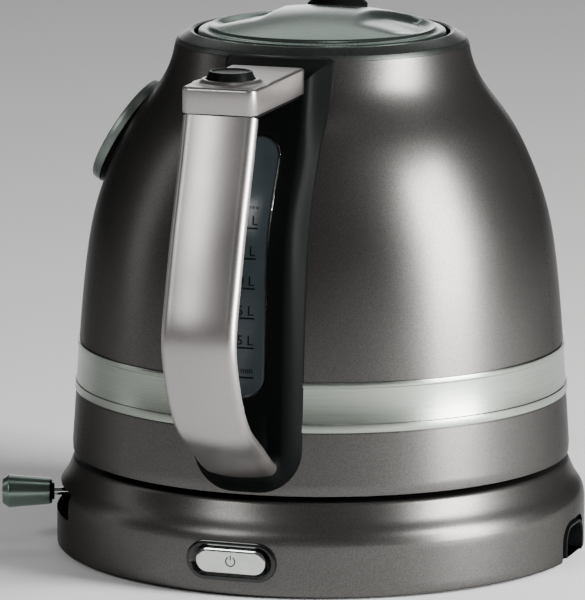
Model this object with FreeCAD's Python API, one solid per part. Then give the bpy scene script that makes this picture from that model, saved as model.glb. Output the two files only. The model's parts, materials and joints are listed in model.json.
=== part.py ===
import FreeCAD
import Part
import math

V = FreeCAD.Vector

# Electric kettle with a swivel base.  Millimetres, +Z up, origin on the counter under the kettle's
# axis.  +X is the handle, -X the spout, -Y the side with the dial and the temperature lever.

# ---- base ----
BASE_R = 107.3            # outer radius of the base wall
BASE_WALL = 2.4           # moulded wall of the base shell
BASE_WALL_TOP = 21.2      # height where the upright wall turns into the shoulder
BASE_TOP = 37.6           # height of the base's top plate
BASE_SHOULDER = 7.1       # how far the shoulder comes in from the wall to the top plate
FOOT_GAP = 1.2            # height of the rubber feet under the shell
FOOT_R = 8.0
FOOT_COUNT = 4
SEAT_H = 2.3              # raised ring that carries the kettle
SOCKET_HOLE_R = 22.0      # hole in the top plate for the round connector
POST_R = 5.0              # centre post of the connector
BOSS_R = 4.0
SCREW_R = 1.5
SCREW_HEAD_R = 3.0

# ---- controls in the base wall ----
LEVER_Z = 21.2            # height of the lever's stem
LEVER_ANGLE = -72.0       # where the lever stands at rest, about +Z from +X
LEVER_TURN = (-48.0, 12.0)
STEM_R = 1.55
KNOB_TIP = 22.3           # how far the knob's tip stands out of the wall
KNOB_LENGTH = 20.3
KNOB_R_IN = 5.25
KNOB_R_OUT = 6.7
KNOB_BEVEL = 2.2
SLOT_H = 11.0             # long opening in the wall round the lever
BUTTON_ANGLE = -2.0
BUTTON_Z = 14.4
BUTTON_W = 29.3           # oblong cap of the power button
BUTTON_H = 10.0
BUTTON_RIM = 2.8          # black surround above and below the cap
BUTTON_RIM_SIDE = 3.85    # and at its two ends
BUTTON_GAP = 0.3
CORD_W = 26.0             # arched outlet for the cord, at +Y
CORD_ARCH_TOP = 15.7
CORD_WALL = 1.8
CORD_HOLE_R = 3.6

# ---- kettle body ----
BODY_R = 101.0            # radius at the body's bottom edge
BODY_H = 166.0            # height of the painted shell
SEAT_GAP = 0.3            # kettle above its seat on the base
SHELL_T = 1.6
VESSEL_R = 82.5           # inside radius of the water vessel
VESSEL_T = 0.8
VESSEL_FLOOR = 10.0       # floor of the vessel above the body's bottom edge
VESSEL_CORNER = 6.0       # radius between the vessel's floor and wall
VESSEL_GAP = 3.4          # least gap between the painted shell and the vessel
COVER_T = 2.0
HEATER_R = 60.0
HEATER_T = 2.0
ELEMENT_R = 36.0
ELEMENT_TUBE_R = 2.1
BAND_H = 19.8
BAND_PROUD = 0.5
BAND_DEEP = 0.8
BAND_RAIL_LOW = 3.3
BAND_RAIL_HIGH = 2.0

# ---- neck and lid ----
NECK_W = 7.6              # width of the dark ring round the lid
LID_GAP = 1.4             # gap between the lid and that ring
LID_BEAD_R = 1.9          # rolled rim of the lid
LID_RISE = 8.7            # crown of the lid above the ring's top
PIN_R = 1.0
PIN_PLAY = 0.05
PAD_X = -21.0             # black press pad on the lid
PAD_R = 12.2
PAD_TOP_R = 9.25
PAD_H = 3.0

# ---- handle ----
HANDLE_W = 30.14          # width of the cap and the grip
SPINE_W = 44.8            # black spine where it lies on the body
SPINE_FRONT_W = 31.0
CAP_H = 10.3
CAP_REACH = 34.5          # how far the cap reaches past the body's bottom radius
CAP_CORNER = 3.5
CAP_EDGE = 1.2
GRIP_T = 5.5
GRIP_EDGE = 2.5
LINER_T = 2.0
WINDOW_W = 16.0
WINDOW_RIM = 0.8
WINDOW_T = 2.0
RELEASE_R = 9.5
RELEASE_TOP_R = 8.3
RELEASE_TRAVEL = 2.2
LATCH_SHARE = 0.8         # latch travel for each millimetre of the release button
LATCH_W = 6.0
LATCH_T = 2.0

# ---- gauge ----
GAUGE_R = 23.5
GAUGE_TILT = 31.0         # the dial looks up by this much
GAUGE_UP = 125.3          # height of its centre on the nominal body
GAUGE_PROUD = 2.0         # rim plane in front of the body at the centre
NEEDLE_LENGTH = 15.0

# ---- spout ----
SPOUT_RISE = 31.5         # slope of the spout
SPOUT_TOP_UP = 149.8      # height of its lip on the nominal body
SPOUT_WALL = 1.5

NOMINAL_H = 166.0         # the height that heights along the body are given for
BODY_BOTTOM = BASE_TOP + SEAT_H + SEAT_GAP
BODY_TOP = BODY_BOTTOM + BODY_H
ARC_MID = 0.293           # share of a quarter arc's radius by which its middle falls short of the corner
FIT = 0.05                # clearance round pieces that are fixed in a pocket
CLEAR = 0.3               # clearance between pieces that move past each other

PARTS = {}


def up(height):
    """A height along the body, stretched with it."""
    return BODY_BOTTOM + height * BODY_H / NOMINAL_H


def save(name, shape):
    PARTS[name] = shape
    shape.exportStep("parts/" + name + ".step")


def line(a, b):
    return Part.LineSegment(a, b).toShape()


def revolve(edges):
    face = Part.Face(Part.Wire(Part.__sortEdges__(edges)))
    return Part.Solid(face.revolve(V(0, 0, 0), V(0, 0, 1), 360))


def turned(points):
    """A ring or disc from (radius, height) corners."""
    corners = [V(r, 0, z) for r, z in points]
    wire = Part.makePolygon(corners + [corners[0]])
    return Part.Solid(Part.Face(wire).revolve(V(0, 0, 0), V(0, 0, 1), 360))


def tube(r_out, r_in, z0, z1):
    outer = Part.makeCylinder(r_out, z1 - z0, V(0, 0, z0))
    if r_in <= 0:
        return outer
    return outer.cut(Part.makeCylinder(r_in, z1 - z0 + 2, V(0, 0, z0 - 1)))


def spin(shape, degrees):
    moved = shape.copy()
    moved.rotate(V(0, 0, 0), V(0, 0, 1), degrees)
    return moved


def sector(r_out, r_in, z0, z1, a0, a1):
    """Part of a ring from angle a0 to a1."""
    outer = Part.makeCylinder(r_out, z1 - z0, V(0, 0, z0), V(0, 0, 1), a1 - a0)
    inner = Part.makeCylinder(r_in, z1 - z0 + 2, V(0, 0, z0 - 1), V(0, 0, 1), 360)
    return spin(outer.cut(inner), a0)


def oblong(width, height, x0, x1, z):
    """A bar along X with round ends across Y, centred at height z."""
    r = height / 2
    half = width / 2 - r
    bar = Part.makeBox(x1 - x0, 2 * half, height, V(x0, -half, z - r))
    for y in (-half, half):
        bar = bar.fuse(Part.makeCylinder(r, x1 - x0, V(x0, y, z), V(1, 0, 0)))
    return bar.removeSplitter()


def group(shapes):
    return Part.makeCompound(shapes)


def around(shape, count, first):
    return [spin(shape, first + i * 360 / count) for i in range(count)]


# ---- the body's outline, which most of the kettle is built on ----
OUTLINE = ((0.0, 0), (1.1, 17), (3.0, 45), (5.9, 77), (9.3, 97), (16.0, 117), (26.6, 137),
           (37.9, 153), (40.9, 161), (41.9, 166))     # (set in from BODY_R, height)
NECK_R = BODY_R - OUTLINE[-1][0]

body_curve = Part.BSplineCurve()
body_curve.interpolate([V(BODY_R - inset, 0, up(h)) for inset, h in OUTLINE])


def wall_point(z):
    """The parameter of the outline at height z."""
    low, high = body_curve.FirstParameter, body_curve.LastParameter
    for _ in range(50):
        middle = (low + high) / 2
        if body_curve.value(middle).z < z:
            low = middle
        else:
            high = middle
    return low


def wall_r(z):
    return body_curve.value(wall_point(z)).x


def wall_inside(depth, z0, z1, count=14):
    """Points set in from the outline by a depth, between two heights on it."""
    first, last = wall_point(z0), wall_point(z1)
    points = []
    for i in range(count):
        u = first + (last - first) * i / (count - 1)
        at = body_curve.value(u)
        along = body_curve.tangent(u)[0]
        points.append(V(at.x - along.z * depth, 0, at.z + along.x * depth))
    return points


def spline(points):
    curve = Part.BSplineCurve()
    curve.interpolate(points)
    return curve.toShape()


body_solid = revolve([
    body_curve.toShape(),
    line(V(NECK_R, 0, BODY_TOP), V(0, 0, BODY_TOP)),
    line(V(0, 0, BODY_TOP), V(0, 0, BODY_BOTTOM)),
    line(V(0, 0, BODY_BOTTOM), V(BODY_R, 0, BODY_BOTTOM))])


# ---- base ----
def base_outline(inset):
    """Wall, rounded shoulder and top of the base, set in by a thickness."""
    wall = BASE_R - inset
    top = BASE_TOP - inset
    lip = BASE_R - BASE_SHOULDER - inset
    shoulder = (top - BASE_WALL_TOP) / 4
    curve = [V(wall, 0, BASE_WALL_TOP), V(wall - 0.9, 0, BASE_WALL_TOP + shoulder),
             V(wall - 3.5, 0, BASE_WALL_TOP + 2 * shoulder), V(lip + 1.6, 0, BASE_WALL_TOP + 3 * shoulder),
             V(lip, 0, top)]
    return curve


def base_solid(inset, bottom):
    curve = base_outline(inset)
    wall = curve[0].x
    foot = 1.0 if inset == 0 else 0.0      # small radius at the foot of the outer wall
    return revolve([
        line(V(0, 0, bottom), V(wall - foot, 0, bottom)),
        line(V(wall - foot, 0, bottom), V(wall, 0, bottom + foot)) if foot else
        line(V(wall, 0, bottom), V(wall, 0, bottom + 1)),
        line(V(wall, 0, bottom + 1), curve[0]),
        spline(curve),
        line(curve[-1], V(0, 0, curve[-1].z)),
        line(V(0, 0, curve[-1].z), V(0, 0, bottom))])


def arch(width, top, bottom, y0, y1):
    """An arched tunnel along +Y."""
    r = width / 2
    spring_line = max(top - r, bottom)
    hole = Part.makeCylinder(r, y1 - y0, V(0, y0, top - r), V(0, 1, 0))
    hole = hole.common(Part.makeBox(width, y1 - y0, top - spring_line, V(-r, y0, spring_line)))
    if spring_line > bottom:
        hole = hole.fuse(Part.makeBox(width, y1 - y0, spring_line - bottom, V(-r, y0, bottom)))
    return hole.removeSplitter()


cover_top = FOOT_GAP + COVER_T
cover_r = BASE_R - BASE_WALL - CLEAR
boss_ring = 62.0
seat_r = BODY_R - 14.0
tunnel_in = BASE_R - 19.0

slot_a0 = LEVER_ANGLE + LEVER_TURN[0] - 6.0
slot_a1 = LEVER_ANGLE + LEVER_TURN[1] + 6.0
stem_a0 = LEVER_ANGLE + LEVER_TURN[0] - 2.0
stem_a1 = LEVER_ANGLE + LEVER_TURN[1] + 2.0

shell = base_solid(0.0, FOOT_GAP).cut(base_solid(BASE_WALL, FOOT_GAP - 1.0))
shell = shell.fuse(tube(seat_r, seat_r - 8.0, BASE_TOP - 0.5, BASE_TOP + SEAT_H))
shell = shell.cut(Part.makeCylinder(SOCKET_HOLE_R, 10, V(0, 0, BASE_TOP - 5)))
boss = Part.makeCylinder(BOSS_R, BASE_TOP - BASE_WALL - cover_top + 0.5, V(boss_ring, 0, cover_top))
boss = boss.cut(Part.makeCylinder(SCREW_R + FIT, 16, V(boss_ring, 0, cover_top)))
for piece in around(boss, FOOT_COUNT, 45):
    shell = shell.fuse(piece)
slot = sector(BASE_R + 5, BASE_R - 12, LEVER_Z - SLOT_H / 2, LEVER_Z + SLOT_H / 2, slot_a0, slot_a1)
shell = shell.cut(slot)
surround_w = BUTTON_W + 2 * BUTTON_RIM_SIDE
surround_h = BUTTON_H + 2 * BUTTON_RIM
cut = oblong(surround_w + 2 * FIT, surround_h + 2 * FIT, BASE_R - 15, BASE_R + 5, BUTTON_Z)
shell = shell.cut(spin(cut, BUTTON_ANGLE))
shell = shell.cut(arch(CORD_W + 2 * FIT, CORD_ARCH_TOP + FIT, FOOT_GAP - 1, BASE_R - 15, BASE_R + 5))
save("base_shell", shell.removeSplitter())

cover = tube(cover_r, 0, FOOT_GAP, cover_top)
screw_holes = Part.makeCylinder(SCREW_R + FIT, 10, V(boss_ring, 0, 0))
screw_holes = screw_holes.fuse(Part.makeCylinder(SCREW_HEAD_R + FIT, 1.3, V(boss_ring, 0, FOOT_GAP - 0.1)))
for piece in around(screw_holes, FOOT_COUNT, 45):
    cover = cover.cut(piece)
save("base_cover", cover)

screw = Part.makeCylinder(SCREW_HEAD_R, 1.2, V(boss_ring, 0, FOOT_GAP))
screw = screw.fuse(Part.makeCylinder(SCREW_R, 12, V(boss_ring, 0, FOOT_GAP + 0.6)))
save("base_screws", group(around(screw.removeSplitter(), FOOT_COUNT, 45)))

foot = Part.makeCylinder(FOOT_R, FOOT_GAP, V(BASE_R - 19, 0, 0))
centre_foot = Part.makeCylinder(FOOT_R, FOOT_GAP)
save("base_feet", group(around(foot, FOOT_COUNT, 20) + [centre_foot]))

socket = tube(SOCKET_HOLE_R - FIT, 0, BASE_TOP - 4.0, BASE_TOP + 0.6)
socket = socket.fuse(tube(SOCKET_HOLE_R + 3, 0, BASE_TOP - 6.4, BASE_TOP - BASE_WALL))
socket = socket.fuse(Part.makeCylinder(POST_R, 8.6, V(0, 0, BASE_TOP)))
socket = socket.cut(tube(SOCKET_HOLE_R - 4, SOCKET_HOLE_R - 6, BASE_TOP - 1, BASE_TOP + 2))
save("connector_socket", socket.removeSplitter())

board_z = 16.0
board = Part.makeBox(70, 50, 1.6, V(-35, -25, board_z))
board = board.fuse(Part.makeBox(20, 14, 12, V(-30, -20, board_z + 1.5)))
board = board.fuse(Part.makeCylinder(6, 11, V(18, 8, board_z + 1.5)))
for x in (-30, 30):
    for y in (-20, 20):
        board = board.fuse(Part.makeCylinder(3, board_z - cover_top + 0.5, V(x, y, cover_top)))
save("control_board", board.removeSplitter())

track = sector(BASE_R - 9.5, BASE_R - 16.5, cover_top, LEVER_Z - 4.3, slot_a0 + 2, slot_a1 - 2)
save("lever_track", track)

plate_r = BASE_R - BASE_WALL - 3.6
plate = sector(plate_r, plate_r - 2, LEVER_Z - SLOT_H / 2 - 1.5, LEVER_Z + SLOT_H / 2 + 1.0,
               slot_a0 - 1, slot_a1 + 1)
stem_room = STEM_R + CLEAR
plate_slot = sector(plate_r + 5, plate_r - 5, LEVER_Z - stem_room, LEVER_Z + stem_room, stem_a0, stem_a1)
save("slot_plate", plate.cut(plate_slot))

surround = oblong(surround_w, surround_h, BASE_R - 9, BASE_R + 2, BUTTON_Z)
surround = surround.cut(oblong(BUTTON_W + 2 * BUTTON_GAP, BUTTON_H + 2 * BUTTON_GAP,
                               BASE_R - 20, BASE_R + 5, BUTTON_Z))
surround = surround.common(tube(BASE_R - 0.3, 0, 0, 40))
save("button_surround", spin(surround, BUTTON_ANGLE))

tunnel = arch(CORD_W, CORD_ARCH_TOP, cover_top, tunnel_in, BASE_R + 2)
tunnel = tunnel.cut(arch(CORD_W - 2 * CORD_WALL, CORD_ARCH_TOP - CORD_WALL, cover_top - 1,
                         tunnel_in - 1, BASE_R + 5))
save("cord_tunnel", tunnel.common(tube(BASE_R - 0.3, 0, 0, 40)))

gland_z = cover_top + CORD_HOLE_R + 1.4
gland = arch(CORD_W, CORD_ARCH_TOP, cover_top, tunnel_in - 5, tunnel_in)
gland = gland.cut(Part.makeCylinder(CORD_HOLE_R, 10, V(0, tunnel_in - 6, gland_z), V(0, 1, 0)))
save("cord_gland", gland)

# ---- temperature lever ----
carriage = sector(BASE_R - 9.8, BASE_R - 16.2, LEVER_Z - 4.0, LEVER_Z + 4.0, -6, 6)
carriage = carriage.cut(Part.makeCylinder(STEM_R, 20, V(BASE_R - 13, 0, LEVER_Z), V(1, 0, 0)))
stem = Part.makeCylinder(STEM_R, KNOB_TIP - KNOB_LENGTH + 15, V(BASE_R - 13, 0, LEVER_Z), V(1, 0, 0))
knob_in = BASE_R + KNOB_TIP - KNOB_LENGTH
knob_out = BASE_R + KNOB_TIP
bevel_x = knob_out - KNOB_BEVEL
bevel_r = KNOB_R_OUT - KNOB_BEVEL
knob = Part.makeCone(KNOB_R_IN, KNOB_R_OUT, KNOB_LENGTH - KNOB_BEVEL, V(knob_in, 0, LEVER_Z), V(1, 0, 0))
knob = knob.fuse(Part.makeCone(KNOB_R_OUT, bevel_r, KNOB_BEVEL, V(bevel_x, 0, LEVER_Z), V(1, 0, 0)))
knob = knob.cut(Part.makeCylinder(STEM_R, 2.0, V(knob_in - 1, 0, LEVER_Z), V(1, 0, 0)))
stem = stem.common(Part.makeBox(BASE_R, 20, 20, V(BASE_R - 13, -10, LEVER_Z - 10)))
stem = stem.cut(Part.makeBox(60, 20, 20, V(knob_in + 1, -10, LEVER_Z - 10)))
save("lever_carriage", spin(carriage, LEVER_ANGLE))
save("lever_stem", spin(stem, LEVER_ANGLE))
save("lever_knob", spin(knob.removeSplitter(), LEVER_ANGLE))

# ---- power button ----
cap = oblong(BUTTON_W, BUTTON_H, BASE_R - 3.5, BASE_R + 2, BUTTON_Z)
cap = cap.common(tube(BASE_R + 0.5, 0, 0, 40))
plunger = oblong(BUTTON_W - 6, BUTTON_H - 4, BASE_R - 12, BASE_R - 3.5, BUTTON_Z)
save("power_button", spin(cap, BUTTON_ANGLE))
save("power_plunger", spin(plunger, BUTTON_ANGLE))

# ---- kettle: vessel and heater ----
floor_z = BODY_BOTTOM + VESSEL_FLOOR
ring_bottom = BODY_TOP - 8.2
ledge_r = NECK_R - NECK_W - 4.0
vessel_turn = up(105.0)


def vessel_solid(inset):
    """The vessel's outside, or its inside when set in by the wall."""
    bottom = floor_z + inset - VESSEL_T
    r = VESSEL_R + VESSEL_T - inset
    points = wall_inside(VESSEL_GAP + inset, up(118), up(152), 8)
    top_r = NECK_R - 3.0 - inset
    curve = [V(r, 0, vessel_turn)] + points[1:] + [V(top_r, 0, ring_bottom)]
    corner = VESSEL_CORNER
    return revolve([
        line(V(0, 0, bottom), V(r - corner, 0, bottom)),
        Part.Arc(V(r - corner, 0, bottom), V(r - ARC_MID * corner, 0, bottom + ARC_MID * corner),
                 V(r, 0, bottom + corner)).toShape(),
        line(V(r, 0, bottom + corner), V(r, 0, vessel_turn)),
        spline(curve),
        line(V(top_r, 0, ring_bottom), V(0, 0, ring_bottom)),
        line(V(0, 0, ring_bottom), V(0, 0, bottom))])


vessel_cavity = vessel_solid(VESSEL_T)
vessel = vessel_solid(0.0).cut(vessel_cavity)
shell_inside = wall_inside(SHELL_T, up(0), BODY_TOP)
shell_inside[0].z = BODY_BOTTOM
shell_inside[-1].z = BODY_TOP
outer_shell = revolve([
    body_curve.toShape(),
    line(V(NECK_R, 0, BODY_TOP), shell_inside[-1]),
    spline(shell_inside),
    line(shell_inside[0], V(BODY_R, 0, BODY_BOTTOM))])

# ---- spout ----
slope = math.radians(SPOUT_RISE)
spout_dir = V(-math.cos(slope), 0, math.sin(slope))
spout_side = V(-math.sin(slope), 0, -math.cos(slope))
spout_root = V(-wall_r(up(126.6)) + 17.0, 0, up(122.8))


def oval(centre, half_y, half_z):
    points = []
    for i in range(16):
        a = 2 * math.pi * i / 16
        points.append(centre + V(0, half_y * math.cos(a), 0) + spout_side * (half_z * math.sin(a)))
    curve = Part.BSplineCurve()
    curve.interpolate(points, PeriodicFlag=True)
    return Part.Wire(curve.toShape())


def spout_solid(wall, before=0.0, after=50.0):
    root = spout_root - spout_dir * before
    length = before + after
    slim = 13.0 * length / 50.0
    return Part.makeLoft([
        oval(root, 22.0 - wall, 17.0 - wall),
        oval(root + spout_dir * length, 22.0 - wall - slim, 17.0 - wall - slim * 0.7)], True, True)


spout_out = spout_solid(0.0)
spout_in = spout_solid(SPOUT_WALL, 8.0, 52.0)
lip_z = up(SPOUT_TOP_UP)
spout = spout_out.cut(spout_in).cut(vessel_cavity)
spout = spout.cut(Part.makeBox(120, 80, 60, V(-170, -40, lip_z)))
spout = max(spout.Solids, key=lambda solid: solid.Volume)
vessel = vessel.cut(spout_out)
outer_shell = outer_shell.cut(spout_out)

filter_x = -VESSEL_R + 12.0
filter_plate = vessel_cavity.common(Part.makeBox(1.2, 34, 60, V(filter_x, -17, up(112))))
slit_w = 1.8
slit_pitch = 3.4
for i in range(-4, 5):
    for low in (115.0, 124.5, 134.0):
        slit_y = slit_pitch * i - slit_w / 2
        filter_plate = filter_plate.cut(Part.makeBox(4, slit_w, 7.5, V(filter_x - 1, slit_y, up(low))))
save("spout", spout)
save("spout_filter", max(filter_plate.Solids, key=lambda solid: solid.Volume))

# ---- neck ring, lid and hinge pin ----
ring_in = NECK_R - NECK_W
lid_r = ring_in - LID_GAP
ring_top = BODY_TOP + 4.8
hinge_x = lid_r - LID_BEAD_R
hinge_z = ring_top - 1.5
ring = turned([
    (ledge_r, ring_bottom), (NECK_R - SHELL_T - 0.5, ring_bottom), (NECK_R - SHELL_T - 0.5, BODY_TOP),
    (NECK_R, BODY_TOP), (NECK_R - 0.2, BODY_TOP + 1.0), (NECK_R - 1.3, BODY_TOP + 2.0),
    (ring_in + 1.2, ring_top), (ring_in, ring_top - 1.6), (ring_in, ring_bottom + 2),
    (ledge_r, ring_bottom + 2)])

# latch passage through the ring, the shell and the spine
latch_z = ring_bottom + 3.2
latch_slot = Part.makeBox(30, LATCH_W + 2 * CLEAR, LATCH_T + 2 * CLEAR,
                          V(ring_in - 1.5, -LATCH_W / 2 - CLEAR, latch_z - LATCH_T / 2 - CLEAR))
ring = ring.cut(latch_slot)
pin_half = math.sqrt(ring_in ** 2 - hinge_x ** 2) + 1.6
pin = Part.makeCylinder(PIN_R, 2 * pin_half, V(hinge_x, -pin_half, hinge_z), V(0, 1, 0))
ring = ring.cut(pin)
save("neck_ring", ring)
save("lid_hinge_pin", pin)
outer_shell = outer_shell.cut(latch_slot)

lid_bottom = ring_bottom + 8.0
crown_z = ring_top + LID_RISE
rim_in = lid_r - 5.0
lid = revolve([
    line(V(0, 0, lid_bottom), V(hinge_x, 0, lid_bottom)),
    line(V(hinge_x, 0, lid_bottom), V(hinge_x, 0, hinge_z - LID_BEAD_R)),
    Part.Arc(V(hinge_x, 0, hinge_z - LID_BEAD_R), V(lid_r, 0, hinge_z),
             V(hinge_x, 0, hinge_z + LID_BEAD_R)).toShape(),
    line(V(hinge_x, 0, hinge_z + LID_BEAD_R), V(rim_in, 0, hinge_z + LID_BEAD_R + 1.1)),
    Part.Arc(V(rim_in, 0, hinge_z + LID_BEAD_R + 1.1), V(rim_in * 0.55, 0, crown_z - 1.9),
             V(0, 0, crown_z)).toShape(),
    line(V(0, 0, crown_z), V(0, 0, lid_bottom))])
scoop = Part.makeSphere(10.0, V(0, 0, 0))
stretch = FreeCAD.Matrix()
stretch.scale(3.0, 2.0, 0.8)
scoop = scoop.transformGeometry(stretch)
for side in (-1, 1):
    hollow = scoop.copy()
    hollow.translate(V(0, side * (lid_r - 13.0), crown_z + 0.5))
    lid = lid.cut(hollow)
pad_floor = crown_z - 5.0
pad_base = crown_z - 0.8
lid = lid.cut(Part.makeCylinder(PAD_R + FIT, 12, V(PAD_X, 0, pad_floor)))
pin_start = V(hinge_x, -pin_half - 1, hinge_z)
lid = lid.cut(Part.makeCylinder(PIN_R + PIN_PLAY, 2 * pin_half + 2, pin_start, V(0, 1, 0)))
save("lid_cover", lid)
pad = Part.makeCylinder(PAD_R, pad_base - pad_floor, V(PAD_X, 0, pad_floor))
pad = pad.fuse(Part.makeCone(PAD_R, PAD_TOP_R, PAD_H, V(PAD_X, 0, pad_base)))
save("lid_pad", pad.removeSplitter())
plug_r = ledge_r - 1.5
plug = tube(plug_r, 0, ring_bottom + 0.2, lid_bottom)
plug = plug.cut(tube(plug_r - 2, 0, ring_bottom + 2.2, lid_bottom + 1))
save("lid_inner", plug)
save("lid_seal", tube(ring_in - 1.5, plug_r + FIT, ring_bottom + 2 + CLEAR, ring_bottom + 4.6))

# ---- trim band round the body ----
band_low = up(25.1)
band_high = band_low + BAND_H
rail_low = band_low + BAND_RAIL_LOW
rail_high = band_high - BAND_RAIL_HIGH


def band_points(deep, proud, strip):
    return [(wall_r(band_low) - deep, band_low), (wall_r(band_low) + proud, band_low),
            (wall_r(rail_low) + proud, rail_low), (wall_r(rail_low) + strip, rail_low),
            (wall_r(rail_high) + strip, rail_high), (wall_r(rail_high) + proud, rail_high),
            (wall_r(band_high) + proud, band_high), (wall_r(band_high) - deep, band_high)]


# ---- spine on the handle side ----
SPINE_BULGE = ((102.5, 15), (102.0, 34), (99.9, 78), (94.8, 108), (81.2, 134), (76.0, 146), (71.9, 160))
spine_bottom = up(1.0)
spine_top = BODY_TOP + 1.5


def spine_front(inset):
    """Points up the spine's front, which keeps its height off the body's wall."""
    points = []
    for reach, height in SPINE_BULGE:
        points.append(V(BODY_R + reach - 101.0 - inset, 0, up(height)))
    points.insert(0, V(points[0].x, 0, spine_bottom - 5))
    points.append(V(points[-1].x - 0.3, 0, spine_top + 5))
    return points


def side_wire(front, back_x, y):
    points = [V(p.x, y, p.z) for p in front]
    low, high = points[0], points[-1]
    back_low = V(back_x, y, low.z)
    back_high = V(back_x, y, high.z)
    back = [line(high, back_high), line(back_high, back_low), line(back_low, low)]
    return Part.Wire([spline(points)] + back)


def spine_flank():
    half = SPINE_W / 2
    points = []
    for p in spine_front(0.0):
        r = wall_r(min(max(p.z, BODY_BOTTOM), BODY_TOP))
        points.append(V(math.sqrt(r * r - half * half) + 0.5, 0, p.z))
    return points


def upright(half, z0, z1, r_low, r_high):
    """A rounded upright outline, thick along X."""
    face = Part.Face(Part.Wire([
        line(V(0, -half + r_low, z0), V(0, half - r_low, z0)),
        Part.Arc(V(0, half - r_low, z0), V(0, half - ARC_MID * r_low, z0 + ARC_MID * r_low),
                 V(0, half, z0 + r_low)).toShape(),
        line(V(0, half, z0 + r_low), V(0, half, z1 - r_high)),
        Part.Arc(V(0, half, z1 - r_high), V(0, half - ARC_MID * r_high, z1 - ARC_MID * r_high),
                 V(0, half - r_high, z1)).toShape(),
        line(V(0, half - r_high, z1), V(0, -half + r_high, z1)),
        Part.Arc(V(0, -half + r_high, z1), V(0, -half + ARC_MID * r_high, z1 - ARC_MID * r_high),
                 V(0, -half, z1 - r_high)).toShape(),
        line(V(0, -half, z1 - r_high), V(0, -half, z0 + r_low)),
        Part.Arc(V(0, -half, z0 + r_low), V(0, -half + ARC_MID * r_low, z0 + ARC_MID * r_low),
                 V(0, -half + r_low, z0)).toShape()]))
    return face.extrude(V(BODY_R + 60, 0, 0))


back_x = NECK_R - 25.0
full = spine_front(0.0)
edge = spine_flank()
spine = Part.makeLoft([
    side_wire(edge, back_x, -SPINE_W / 2), side_wire(full, back_x, -SPINE_FRONT_W / 2),
    side_wire(full, back_x, SPINE_FRONT_W / 2), side_wire(edge, back_x, SPINE_W / 2)], True, True)
spine = spine.common(upright(SPINE_W / 2, spine_bottom, spine_top, 17.0, 3.0))
ring_room = tube(NECK_R + CLEAR, 0, BODY_TOP - 1, BODY_TOP + 20)
spine = spine.cut(body_solid).cut(ring_room).cut(latch_slot)
window_low = up(39.4)
window_high = up(138.8)


def stadium(half, grow=0.0):
    end_r = half + grow - 0.01
    return upright(half + grow, window_low - grow, window_high + grow, end_r, end_r)


def front_slab(near, far):
    """A curved sheet that follows the spine's front between two depths."""
    points = [V(p.x - near, 0, p.z) for p in full]
    behind = [V(p.x - far, 0, p.z) for p in full]
    half = SPINE_FRONT_W / 2 - 1
    face = Part.Face(Part.Wire([
        spline(points), line(points[-1], behind[-1]), spline(behind), line(behind[0], points[0])]))
    slab = face.extrude(V(0, 2 * half, 0))
    slab.translate(V(0, -half, 0))
    return slab


window_half = WINDOW_W / 2
spine = spine.cut(stadium(window_half, WINDOW_RIM + FIT))
spine = max(spine.Solids, key=lambda solid: solid.Volume)
save("handle_spine", spine)
rim_shape = front_slab(0.0, 3.0).common(stadium(window_half, WINDOW_RIM))
save("window_trim", rim_shape.cut(stadium(window_half, FIT)))
save("water_window", front_slab(0.2, 0.2 + WINDOW_T).common(stadium(window_half)))
save("window_backing", front_slab(2.4, 3.0).common(stadium(window_half)))

groove = turned(band_points(BAND_DEEP + FIT, 3.0, 3.0))
outer_shell = outer_shell.cut(groove)
band = turned(band_points(BAND_DEEP, BAND_PROUD, 0.1))
band = band.cut(upright(SPINE_W / 2 + FIT, spine_bottom, spine_top, 17.0, 3.0))
save("trim_band", band)
seam_low = floor_z - VESSEL_T + VESSEL_CORNER
save("vessel_floor", vessel.common(tube(BODY_R, 0, BODY_BOTTOM, seam_low)))
save("inner_vessel", vessel.common(tube(BODY_R, 0, seam_low, vessel_turn)))
save("vessel_shoulder", vessel.common(tube(BODY_R, 0, vessel_turn, BODY_TOP)))

heater_top = floor_z - VESSEL_T
heater = tube(HEATER_R, 0, heater_top - HEATER_T, heater_top)
save("heater_plate", heater)
element_z = heater_top - HEATER_T - ELEMENT_TUBE_R
element = Part.makeTorus(ELEMENT_R, ELEMENT_TUBE_R, V(0, 0, element_z), V(0, 0, 1), -180, 180, 300)
save("heating_element", element)
cover_outer = shell_inside[0].x - CLEAR
bottom_cover = tube(cover_outer, SOCKET_HOLE_R, BODY_BOTTOM, BODY_BOTTOM + COVER_T)
k_ring = boss_ring + 22.0
k_hole = Part.makeCylinder(SCREW_R + FIT, 10, V(k_ring, 0, BODY_BOTTOM - 1))
k_hole = k_hole.fuse(Part.makeCylinder(SCREW_HEAD_R + FIT, 1.2, V(k_ring, 0, BODY_BOTTOM - 0.1)))
for piece in around(k_hole, 3, 30):
    bottom_cover = bottom_cover.cut(piece)
save("kettle_cover", bottom_cover)
k_screw = Part.makeCylinder(SCREW_HEAD_R, 0.9, V(k_ring, 0, BODY_BOTTOM + 0.2))
k_screw = k_screw.fuse(Part.makeCylinder(SCREW_R, 6.5, V(k_ring, 0, BODY_BOTTOM + 0.5)))
save("kettle_screws", group(around(k_screw.removeSplitter(), 3, 30)))
connector = tube(SOCKET_HOLE_R - FIT, POST_R + CLEAR, BODY_BOTTOM + 0.2, element_z + ELEMENT_TUBE_R)
save("kettle_connector", connector)
probe_r = 3.0
probe_h = 11.0
probe = Part.makeCylinder(probe_r, probe_h, V(-30, 30, floor_z))
probe = probe.fuse(Part.makeSphere(probe_r, V(-30, 30, floor_z + probe_h)))
save("temperature_probe", probe.removeSplitter())

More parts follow.
